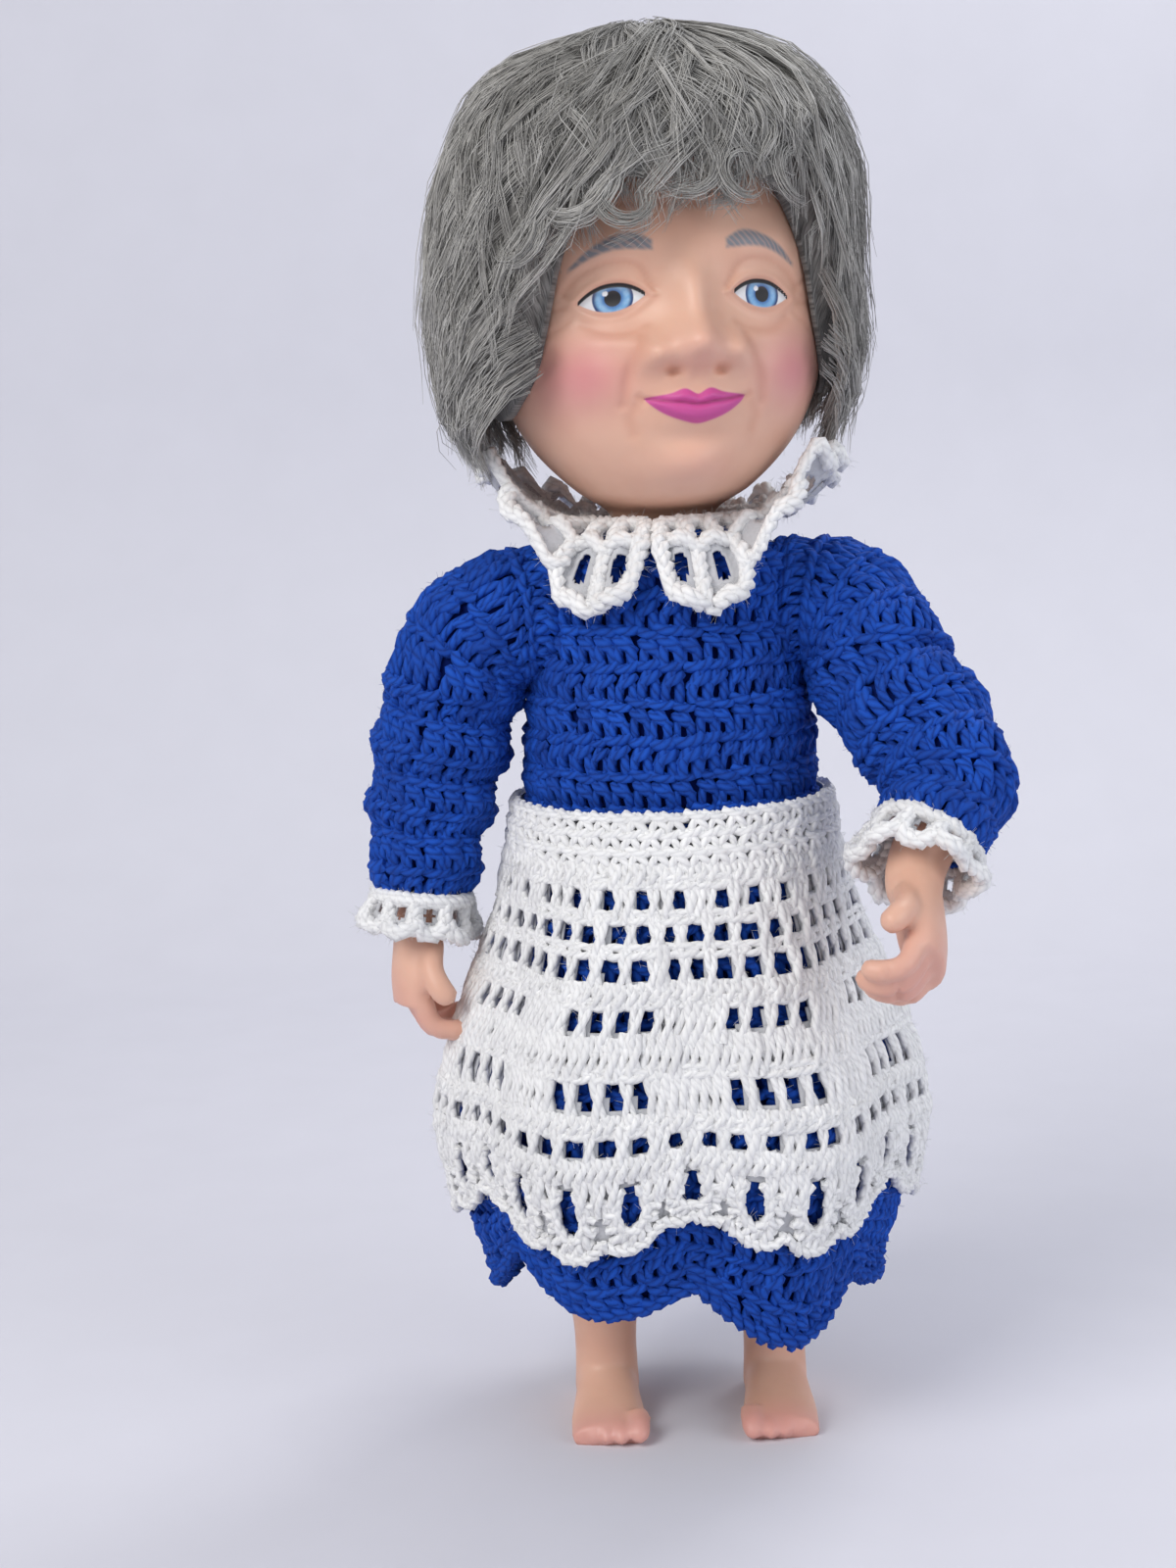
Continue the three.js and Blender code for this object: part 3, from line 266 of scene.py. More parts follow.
def rings_round(path: Array, size: Array, side: Array, up: Array) -> Array:
    """Rings round a path, of a radius at each place, in the plane of two directions."""
    angles = circle(14)[:, None]
    rings = np.cos(angles) * side[:, None] + np.sin(angles) * up[:, None]
    return path[:, None] + size[:, None, None] * rings


def values_on(piece: Piece, **values: Array) -> None:
    """Keeps named numbers on a piece's points."""
    for name, numbers in values.items():
        attribute = piece.data.attributes.new(name, "FLOAT", "POINT")
        attribute.data.foreach_set("value", np.asarray(numbers, np.float32).ravel())


def points_of(piece: Piece) -> Array:
    """A piece's points in millimetres about the body's axis."""
    flat = np.empty(len(piece.data.vertices) * 3, np.float32)
    piece.data.vertices.foreach_get("co", flat)
    return flat.reshape(-1, 3).astype(float) / MM - AXIS


def baked(piece: Piece) -> Piece:
    """The same piece with its modifiers turned into a plain mesh."""
    graph = bpy.context.evaluated_depsgraph_get()
    graph.update()
    old = piece.data
    made = bpy.data.meshes.new_from_object(piece.evaluated_get(graph), depsgraph=graph)
    piece.modifiers.clear()
    piece.data = made
    made.name = piece.name
    bpy.data.meshes.remove(old)
    return piece


def moulded(piece: Piece, grain: float, rounds: int) -> Piece:
    """Melts overlapping bodies into one skin, as a moulding has.

    Args:
        piece: Object whose closed bodies overlap.
        grain: Size of the skin's squares in millimetres.
        rounds: How often it is smoothed.
    Returns:
        The same object as one plain skin.
    """
    material = piece.data.materials[0]
    melt = piece.modifiers.new("melt", "REMESH")
    melt.mode, melt.voxel_size, melt.use_smooth_shade = "VOXEL", grain * MM, True
    soften = piece.modifiers.new("soften", "SMOOTH")
    soften.factor, soften.iterations = 0.5, rounds
    baked(piece)
    piece.data.materials.clear()
    piece.data.materials.append(material)
    return piece


def settle(piece: Piece, body: str, slot: str, *nodes: str) -> Piece:
    """Joins a finished piece to the frame.

    Args:
        piece: The finished object.
        body: Body that it rides on.
        slot: Finish of the record that it takes; not used.
        nodes: Solids that it stands for.
    Returns:
        The piece.
    """
    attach(piece, body)
    if nodes:
        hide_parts(*nodes)
    piece.data.calc_loop_triangles()
    log.info("%s on %s, %d triangles", piece.name, body, len(piece.data.loop_triangles))
    return piece


class Nodes:
    """Short hand for laying out one node tree."""

    def __init__(self, tree: NodeTree) -> None:
        """Works on the given tree."""
        self.tree = tree

    def add(self, kind: str, *links: object, **settings: object) -> Node:
        """Adds a node.

        Args:
            kind: Blender's name of the node type.
            links: What goes into its inputs in order: a socket, a plain value, or None to leave it.
            settings: Properties of the node.
        Returns:
            The node.
        """
        node = self.tree.nodes.new(kind)
        for key, value in settings.items():
            setattr(node, key, value)
        for socket, value in zip([s for s in node.inputs if s.enabled], links):
            self.feed(socket, value)
        return node

    def feed(self, socket: Socket, value: object) -> None:
        """Links a socket or sets its value."""
        if value is None:
            return
        if isinstance(value, Socket):
            self.tree.links.new(value, socket)
        elif isinstance(value, tuple) and len(value) == 3 and socket.type == "RGBA":
            socket.default_value = (*value, 1.0)
        else:
            socket.default_value = value

    def math(self, operation: str, *values: object) -> Socket:
        """The result of a sum on numbers."""
        return self.add("ShaderNodeMath", *values, operation=operation).outputs[0]

    def value(self, name: str) -> Socket:
        """A named number of the surface."""
        return self.add("ShaderNodeAttribute", attribute_name=name).outputs["Fac"]

    def fill(self, node: Node, **values: object) -> Node:
        """Feeds a node's inputs by name, with _ for a space."""
        for key, value in values.items():
            self.feed(node.inputs[key.replace("_", " ")], value)
        return node

    def band(self, value: object, low: float, high: float, least: float = 0.0, most: float = 1.0) -> Socket:
        """Maps a number smoothly from one range to another."""
        node = self.add("ShaderNodeMapRange", interpolation_type="SMOOTHSTEP")
        self.fill(node, Value=value, From_Min=low, From_Max=high, To_Min=least, To_Max=most)
        return node.outputs[0]

    def mix(self, share: object, first: object, second: object) -> Socket:
        """Mixes two colours."""
        node = self.add("ShaderNodeMix", data_type="RGBA")
        for place, value in ((0, share), (6, first), (7, second)):
            self.feed(node.inputs[place], value)
        return node.outputs[2]

    def noise(self, scale: object, detail: float, vector: Optional[Socket] = None) -> Socket:
        """Noise on the piece's own coordinates, from 0 to 1."""
        where = vector or self.add("ShaderNodeTexCoord").outputs["Object"]
        return self.fill(self.add("ShaderNodeTexNoise"), Vector=where, Scale=scale, Detail=detail).outputs[0]

    def group(self, lay: Callable, **values: float) -> Node:
        """Places a shared effect, whose tree is built on first use.

        Args:
            lay: Lays out the effect's nodes from its named inputs, and gives its results by name.
            values: This material's value of each input.
        Returns:
            The group's node.
        """
        tree = bpy.data.node_groups.get(lay.__name__)
        if tree is None:
            tree = bpy.data.node_groups.new(lay.__name__, "ShaderNodeTree")
            inner = Nodes(tree)
            for key in values:
                tree.interface.new_socket(key, in_out="INPUT", socket_type="NodeSocketFloat")
            results = lay(inner, inner.add("NodeGroupInput").outputs)
            for key in results:
                tree.interface.new_socket(key, in_out="OUTPUT", socket_type="NodeSocketFloat")
            inner.fill(inner.add("NodeGroupOutput"), **results)
        return self.fill(self.add("ShaderNodeGroup", node_tree=tree), **values)

    def bump(self, shader: Node, height: Socket, depth: float, strength: float = 1.0) -> None:
        """Raises a shader's surface by a height, of that depth in millimetres."""
        node = self.fill(self.add("ShaderNodeBump"), Strength=strength, Distance=depth * MM, Height=height)
        self.fill(shader, Normal=node.outputs[0])


def ply_twist(nodes: Nodes, given: dict[str, Socket]) -> dict[str, Socket]:
    """Plies that wind round a strand of yarn.

    Args:
        nodes: The effect's own tree.
        given: Number of plies, pitch of the twist in millimetres and share of the fibres.
    Returns:
        Height of the plies, and how far up their grooves a place is, which sets the painted shade in the
        grooves.
    """
    around = nodes.add("ShaderNodeAttribute", attribute_name="ply").outputs["Vector"]
    split = nodes.add("ShaderNodeSeparateXYZ", around)
    angle = nodes.math("ARCTAN2", split.outputs[1], split.outputs[0])
    wound = nodes.math("MULTIPLY", nodes.math("DIVIDE", nodes.value("along"), given["Pitch"]), TAU)
    phase = nodes.math("MULTIPLY", nodes.math("ADD", angle, wound), given["Plies"])
    ridge = nodes.math("ABSOLUTE", nodes.math("COSINE", nodes.math("MULTIPLY", phase, 0.5)))
    fibre = nodes.math("MULTIPLY", nodes.noise(2600.0, 3.0), given["Fuzz"])
    return {"Height": nodes.math("ADD", ridge, fibre), "Groove": nodes.math("POWER", ridge, 0.6)}


def vinyl_mottle(nodes: Nodes, given: dict[str, Socket]) -> dict[str, Socket]:
    """Soft unevenness of moulded vinyl.

    Args:
        nodes: The effect's own tree.
        given: Scales of the broad patches and of the fine pores.
    Returns:
        Broad tone, fine pores and gloss.
    """
    broad, pores = nodes.noise(given["Broad"], 3.0), nodes.noise(given["Fine"], 4.0)
    gloss = nodes.band(nodes.noise(given["Broad"], 5.0), 0.3, 0.7, 0.4, 0.52)
    return {"Tone": broad, "Pores": pores, "Gloss": gloss}


@dataclass(frozen=True)
class Finish:
    """Common start of every finish: a named material that each kind paints in its own way."""

    name: str

    def build(self) -> Material:
        """The finished material."""
        made = bpy.data.materials.new(self.name)
        made.use_nodes = True
        self.paint(Nodes(made.node_tree), made.node_tree.nodes["Principled BSDF"])
        return made

    def paint(self, nodes: Nodes, shader: Node) -> None:
        """Sets up the shader.

        Args:
            nodes: The material's tree.
            shader: Its shader.
        """
        raise NotImplementedError


@dataclass(frozen=True)
class YarnFinish(Finish):
    """Matt acrylic yarn, twisted from plies."""

    # deep is the colour of the painted shade in the grooves, and of the darker strands
    deep: Colour
    bright: Colour
    plies: float = 3.0
    pitch: float = 9.0
    relief: float = 0.22

    def paint(self, nodes: Nodes, shader: Node) -> None:
        """Twisted plies, with painted shade in their grooves."""
        nodes.fill(shader, Roughness=0.82, Specular_IOR_Level=0.25)
        nodes.fill(shader, Sheen_Weight=0.35, Sheen_Roughness=0.4, Sheen_Tint=self.bright)
        twist = nodes.group(ply_twist, Plies=self.plies, Pitch=self.pitch, Fuzz=0.35).outputs
        tone = nodes.math("MULTIPLY_ADD", nodes.value("tone"), 0.5, 0.25)
        # painted shade: darker down in the grooves between the plies, mixed with each strand's own tone
        share = nodes.math("MULTIPLY", twist["Groove"], tone)
        share = nodes.math("ADD", share, nodes.math("MULTIPLY", nodes.noise(350.0, 3.0), 0.35))
        nodes.fill(shader, Base_Color=nodes.mix(share, self.deep, self.bright))
        nodes.bump(shader, twist["Height"], self.relief)


@dataclass(frozen=True)
class GroundFinish(Finish):
    """Matted inner side of a crocheted fabric, seen only between the stitches, in darker colours that paint
    the shade there.
    """

    colour: Colour
    shade: float = 0.55

    def paint(self, nodes: Nodes, shader: Node) -> None:
        """Matted fibres, with painted shade between them."""
        weave = nodes.noise(900.0, 4.0)
        dark = tuple(c * self.shade for c in self.colour)
        colour = nodes.mix(weave, dark, self.colour)
        nodes.fill(shader, Roughness=0.95, Specular_IOR_Level=0.1, Base_Color=colour)
        nodes.bump(shader, weave, 0.3)


@dataclass(frozen=True)
class VinylFinish(Finish):
    """Satin, slightly translucent moulded vinyl in skin colour."""

    skin: Colour = srgb(228, 182, 158)
    shade: Colour = srgb(205, 145, 120)
    rose: Colour = srgb(212, 130, 141)

    def bare(self, nodes: Nodes, shader: Node) -> Socket:
        """Sets up the vinyl.

        Args:
            nodes: The material's tree.
            shader: Its shader.
        Returns:
            The skin colour with its blush and its painted crease shade, ready for paint.
        """
        nodes.fill(shader, Specular_IOR_Level=0.42, Coat_Weight=0.06, Coat_Roughness=0.3)
        nodes.fill(shader, Subsurface_Weight=0.12, Subsurface_Scale=0.003)
        nodes.fill(shader, Subsurface_Radius=(1.0, 0.42, 0.28))
        mottle = nodes.group(vinyl_mottle, Broad=60.0, Fine=1500.0).outputs
        nodes.fill(shader, Roughness=mottle["Gloss"])
        nodes.bump(shader, mottle["Pores"], 0.05, 0.5)
        skin = nodes.mix(nodes.band(mottle["Tone"], 0.35, 0.75, 0.0, 0.28), self.skin, self.shade)
        # painted shade: darker in the creases of the face and round the ankles
        skin = nodes.mix(nodes.math("MULTIPLY", nodes.value("crease"), 0.8), skin, self.shade)
        return nodes.mix(nodes.value("blush"), skin, self.rose)

    def paint(self, nodes: Nodes, shader: Node) -> None:
        """Plain skin of a limb."""
        nodes.fill(shader, Base_Color=self.bare(nodes, shader))


@dataclass(frozen=True)
class FaceFinish(VinylFinish):
    """The vinyl of the head, with the painted eyes, brows, lips and cheeks."""

    lip: Colour = srgb(202, 82, 152)
    lip_dark: Colour = srgb(156, 46, 100)
    brow: Colour = srgb(122, 128, 136)
    lid: Colour = srgb(196, 126, 112)
    white: Colour = srgb(236, 236, 238)
    shadow: Colour = srgb(110, 96, 100)
    iris: Colour = srgb(120, 176, 222)
    iris_light: Colour = srgb(186, 214, 236)
    iris_inner: Colour = srgb(70, 120, 180)
    iris_rim: Colour = srgb(34, 66, 118)
    ink: Colour = srgb(24, 20, 24)
    glint: Colour = (0.95, 0.95, 0.95)

    def paint(self, nodes: Nodes, shader: Node) -> None:
        """Skin with brows, lips and eyes painted on it, within outlines that the head's points carry."""

        def inside(name: str, edge: float, soft: float, most: float = 1.0) -> Socket:
            """How far a place lies inside an outline."""
            return nodes.band(nodes.value(name), edge + soft, edge - soft, 0.0, most)

        colour = nodes.mix(inside("lid_edge", 0.0, 1.4, 0.25), self.bare(nodes, shader), self.lid)
        strokes = nodes.add("ShaderNodeTexWave", wave_type="BANDS", bands_direction="DIAGONAL")
        where = nodes.add("ShaderNodeTexCoord").outputs["Object"]
        nodes.fill(strokes, Vector=where, Scale=260.0, Distortion=3.0, Detail=2.0)
        hairs = nodes.band(strokes.outputs["Fac"], 0.1, 0.6, 0.7, 0.95)
        colour = nodes.mix(nodes.math("MULTIPLY", inside("brow_edge", 0.0, 0.7), hairs), colour, self.brow)
        lips = nodes.mix(inside("lip_line", 0.25, 0.5), self.lip, self.lip_dark)
        colour = nodes.mix(inside("lip_edge", 0.0, 0.35), colour, lips)
        iris = nodes.mix(nodes.band(nodes.noise(700.0, 2.0), 0.35, 0.7, 0.0, 0.4), self.iris, self.iris_light)
        iris = nodes.mix(nodes.band(nodes.value("iris"), 3.6, 4.6), iris, self.iris_rim)
        iris = nodes.mix(inside("iris", 2.6, 0.6), iris, self.iris_inner)
        iris = nodes.mix(inside("iris", 2.0, 0.15), iris, self.ink)
        eye = nodes.mix(inside("iris", 4.85, 0.15), self.white, iris)
        eye = nodes.mix(inside("glint", 0.7, 0.15), eye, self.glint)
        eye = nodes.mix(inside("lash", 1.5, 1.1, 0.35), eye, self.shadow)
        ball = inside("eye_edge", 0.0, 0.18)
        colour = nodes.mix(ball, colour, eye)
        colour = nodes.mix(inside("lash", 0.55, 0.2), colour, self.ink)
        nodes.fill(shader, Base_Color=colour, Coat_Weight=nodes.math("MULTIPLY", ball, 0.15))


@dataclass(frozen=True)
class HairFinish(Finish):
    """Ash grey wig fibre, darker towards the roots as painted shade under the hair, with light strands."""

    dark: Colour = srgb(114, 112, 109)
    light: Colour = srgb(208, 206, 201)
    streaks: float = 0.0

    def paint(self, nodes: Nodes, shader: Node) -> None:
        """Strands of many greys; where the hair is one close base, painted in streaks with painted shade
        between them.
        """
        nodes.fill(shader, Roughness=0.6, Specular_IOR_Level=0.22, Sheen_Weight=0.25)
        patch = nodes.band(nodes.noise(130.0, 2.0), 0.3, 0.7)
        share = nodes.math("MULTIPLY_ADD", patch, 0.3, nodes.math("MULTIPLY", nodes.value("tone"), 0.75))
        # on the close base: streaks of strands with painted shade in the gaps between them
        if self.streaks:
            way = nodes.add("ShaderNodeCombineXYZ", nodes.value("grain"), nodes.value("run")).outputs[0]
            fibre = nodes.noise(self.streaks, 4.0, way)
            share = nodes.math("MULTIPLY", nodes.band(fibre, 0.3, 0.72), share)
            nodes.bump(shader, fibre, 0.5)
        # painted shade: darker towards the roots, where the hair lies under other locks
        root = nodes.band(nodes.value("tip"), 0.0, 0.3, 0.5, 1.0)
        share = nodes.math("MULTIPLY", share, root)
        nodes.fill(shader, Base_Color=nodes.mix(share, self.dark, self.light))


@dataclass(frozen=True)
class ButtonFinish(Finish):
    """Pressed shell-white button plastic."""

    colour: Colour = srgb(232, 230, 222)
    cloud: Colour = srgb(206, 204, 204)

    def paint(self, nodes: Nodes, shader: Node) -> None:
        """Clouded plastic, glossier in places."""
        cloud = nodes.noise(220.0, 4.0)
        colour = nodes.mix(nodes.band(cloud, 0.3, 0.8), self.colour, self.cloud)
        gloss = nodes.band(cloud, 0.2, 0.8, 0.18, 0.34)
        nodes.fill(shader, Base_Color=colour, Roughness=gloss, Specular_IOR_Level=0.6, Coat_Weight=0.3)


@dataclass(frozen=True)
class PaperFinish(Finish):
    """Plain pale sweep of paper under and behind the doll, clear when seen from its back."""

    colour: Colour = srgb(214, 214, 222)

    def paint(self, nodes: Nodes, shader: Node) -> None:
        """Pale fibres."""
        paler = tuple(min(1.0, c * 1.05) for c in self.colour)
        colour = nodes.mix(nodes.noise(30.0, 4.0), self.colour, paler)
        nodes.fill(shader, Roughness=0.9, Specular_IOR_Level=0.1, Base_Color=colour)
        behind = nodes.add("ShaderNodeNewGeometry").outputs["Backfacing"]
        nodes.fill(shader, Alpha=nodes.math("SUBTRACT", 1.0, behind))


@dataclass(frozen=True)
class Yarn:
    """One colour of yarn: its slot in the record, its material and that of the matted ground behind it, whose
    darker colour paints the shade between the stitches.
    """

    slot: str
    strand: Material
    ground: Material


class Wardrobe:
    """The finishes of the doll, made once."""

    def __init__(self) -> None:
        """Builds every material."""
        blue = YarnFinish("blue_yarn", srgb(6, 30, 98), srgb(26, 86, 194))
        white = YarnFinish("white_yarn", srgb(212, 212, 213), srgb(250, 250, 249), pitch=8.0, relief=0.08)
        # the ground colours, darker than the yarn, are painted shade seen between the stitches
        blue_ground = GroundFinish("blue_ground", srgb(8, 30, 98))
        white_ground = GroundFinish("white_ground", srgb(206, 207, 211), 0.8)
        self.blue = Yarn("blue_yarn", blue.build(), blue_ground.build())
        self.white = Yarn("white_yarn", white.build(), white_ground.build())
        self.vinyl = VinylFinish("vinyl").build()
        self.face = FaceFinish("painted_vinyl").build()
        self.hair = HairFinish("wig_fibre").build()
        # the base's darker greys are painted shade deep in the hair under the locks
        self.hair_base = HairFinish("wig_base", srgb(74, 72, 70), srgb(178, 176, 172), 6.0).build()
        self.button = ButtonFinish("button_plastic").build()


def strand_sweep() -> NodeTree:
    """Geometry Nodes that turn lines into round strands of yarn or hair, built on first use.

    Returns:
        The tree, with named inputs for radius, sides and finish.
    """
    tree = bpy.data.node_groups.get("strand_sweep")
    if tree is not None:
        return tree
    tree = bpy.data.node_groups.new("strand_sweep", "GeometryNodeTree")
    inputs = {"Geometry": "Geometry", "Strand Radius": "Float", "Sides": "Int", "Finish": "Material"}
    for name, kind in inputs.items():
        tree.interface.new_socket(name, in_out="INPUT", socket_type="NodeSocket" + kind)
    tree.interface.new_socket("Geometry", in_out="OUTPUT", socket_type="NodeSocketGeometry")
    nodes = Nodes(tree)
    given = nodes.add("NodeGroupInput").outputs

    def step(kind: str, settings: dict[str, str], **inputs: object) -> Socket:
        """Adds a node and gives its first result."""
        return nodes.fill(nodes.add("GeometryNode" + kind, **settings), **inputs).outputs[0]

    place = step("InputPosition", {})
    around = nodes.add("ShaderNodeVectorMath", place, operation="NORMALIZE").outputs[0]
    radius, sides = given["Strand Radius"], given["Sides"]
    ring = step("CurvePrimitiveCircle", {"mode": "RADIUS"}, Resolution=sides, Radius=radius)
    vector = {"data_type": "FLOAT_VECTOR"}
    ring = step("StoreNamedAttribute", vector, Geometry=ring, Name="ply", Value=around)
    thick = step("InputNamedAttribute", {"data_type": "FLOAT"}, Name="thickness")
    line = step("MeshToCurve", {}, Mesh=given["Geometry"])
    made = step("CurveToMesh", {}, Curve=line, Profile_Curve=ring, Scale=thick, Fill_Caps=True)
    made = step("RealizeInstances", {}, Geometry=step("SetShadeSmooth", {}, Geometry=made))
    made = step("SetMaterial", {}, Geometry=made, Material=given["Finish"])
    nodes.fill(nodes.add("NodeGroupOutput"), Geometry=made)
    return tree


class Skein:
    """Gathers strands and sweeps them into one piece."""

    def __init__(self, seed: int) -> None:
        """Starts empty, with its own fixed source of unevenness."""
        self.random = np.random.default_rng(seed)
        self.paths: list[Array] = []
        self.thick: list[Array] = []
        self.tone: list[Array] = []

    def add(self, paths: Array, thick: object = 1.0, tone: Optional[Array] = None) -> None:
        """Adds strands.

        Args:
            paths: Points by strand, place and coordinate, in millimetres.
            thick: Share of the strand radius, one number or one for each point.
            tone: Lightness of each strand from 0 to 1, or None for an uneven one.
        """
        if not len(paths):
            return
        self.paths.append(paths)
        self.thick.append(np.broadcast_to(thick, paths.shape[:2]).astype(float))
        tone = self.random.uniform(0.2, 1.0, len(paths)) if tone is None else tone
        self.tone.append(np.broadcast_to(np.asarray(tone)[:, None], paths.shape[:2]))

    def sweep(self, name: str, radius: float, sides: int, finish: Material) -> Piece:
        """Makes the piece.

        Args:
            name: The piece's name.
            radius: Radius of a strand in millimetres.
            sides: Number of sides of a strand.
            finish: The piece's material.
        Returns:
            An object with a plain mesh.
        """
        edges, along, tip, first = [], [], [], 0
        for paths in self.paths:
            strands, places = paths.shape[:2]
            along.append(np.cumsum(np.pad(strides(paths, 1), ((0, 0), (1, 0))), axis=1))
            tip.append(np.broadcast_to(np.linspace(0, 1, places), (strands, places)))
            index = np.arange(strands * places).reshape(strands, places) + first
            edges.append(stacked(index[:, :-1], index[:, 1:]).reshape(-1, 2))
            first += strands * places
        links = np.concatenate(edges)
        data = bpy.data.meshes.new(name)
        data.vertices.add(first)
        points = metres(np.concatenate([paths.reshape(-1, 3) for paths in self.paths]))
        data.vertices.foreach_set("co", points.astype(np.float32).ravel())
        data.edges.add(len(links))
        data.edges.foreach_set("vertices", links.astype(np.int32).ravel())
        data.update()
        piece = linked(name, data)
        for key, parts in (("thickness", self.thick), ("tone", self.tone), ("along", along), ("tip", tip)):
            values_on(piece, **{key: np.concatenate([part.ravel() for part in parts])})
        sweep = piece.modifiers.new("strands", "NODES")
        sweep.node_group = strand_sweep()
        values = {"Strand Radius": radius * MM, "Sides": sides, "Finish": finish}
        for socket in sweep.node_group.interface.items_tree:
            if socket.name in values:
                sweep[socket.identifier] = values[socket.name]
        return baked(piece)


class Stitch(Enum):
    """The stitches of the clothes: strands through points given across, up and out of the fabric.

    Across is in stitch widths, up in row heights and out in millimetres.
    """

    DOUBLE = (
        ((-0.32, -0.08, -0.6), (-0.36, 0.2, 0.5), (-0.2, 0.5, 0.9), (0.06, 0.76, 0.5), (0.16, 0.98, -0.4)),
        ((0.32, -0.08, -0.6), (0.34, 0.2, 0.5), (0.28, 0.48, 0.3), (0.02, 0.74, 0.2), (-0.16, 0.98, -0.4)),
        ((-0.46, 0.3, -0.5), (-0.16, 0.44, 1.2), (0.22, 0.56, 1.3), (0.44, 0.68, 0.0)),
        ((-0.62, 0.9, 0.0), (-0.2, 0.84, 0.95), (0.22, 0.88, 1.1), (0.62, 1.02, 0.1)),
    )
    SINGLE = (
        ((-0.4, -0.1, -0.4), (-0.3, 0.25, 0.7), (-0.02, 0.6, 0.9), (0.2, 0.95, -0.2)),
        ((0.4, -0.1, -0.4), (0.34, 0.25, 0.7), (0.12, 0.6, 0.5), (-0.2, 0.95, -0.2)),
        ((-0.66, 0.8, 0.1), (-0.2, 0.7, 1.0), (0.22, 0.82, 1.1), (0.66, 1.06, 0.2)),
    )
    POST = (
        ((-0.85, -0.05, 0.0), (-0.75, 0.22, 0.7), (0.35, 0.5, 0.9), (0.85, 0.76, 0.3), (0.5, 1.05, 0.0)),
        ((0.85, -0.05, 0.0), (0.8, 0.22, 0.1), (-0.3, 0.5, 0.1), (-0.85, 0.75, 0.7), (-0.5, 1.05, 0.0)),
    )
    CHAIN = (
        ((-0.7, -0.35, 0.1), (-0.3, -1.0, 0.7), (0.3, -0.75, 0.9), (0.75, 0.1, 0.3)),
        ((-0.7, 0.5, 0.0), (-0.25, 1.05, 0.6), (0.3, 0.8, 0.7), (0.75, -0.05, 0.2)),
    )

    def lines(self) -> list[Array]:
        """The strands as smooth lines of six points."""
        return [through(np.array(points), 6) for points in self.value]


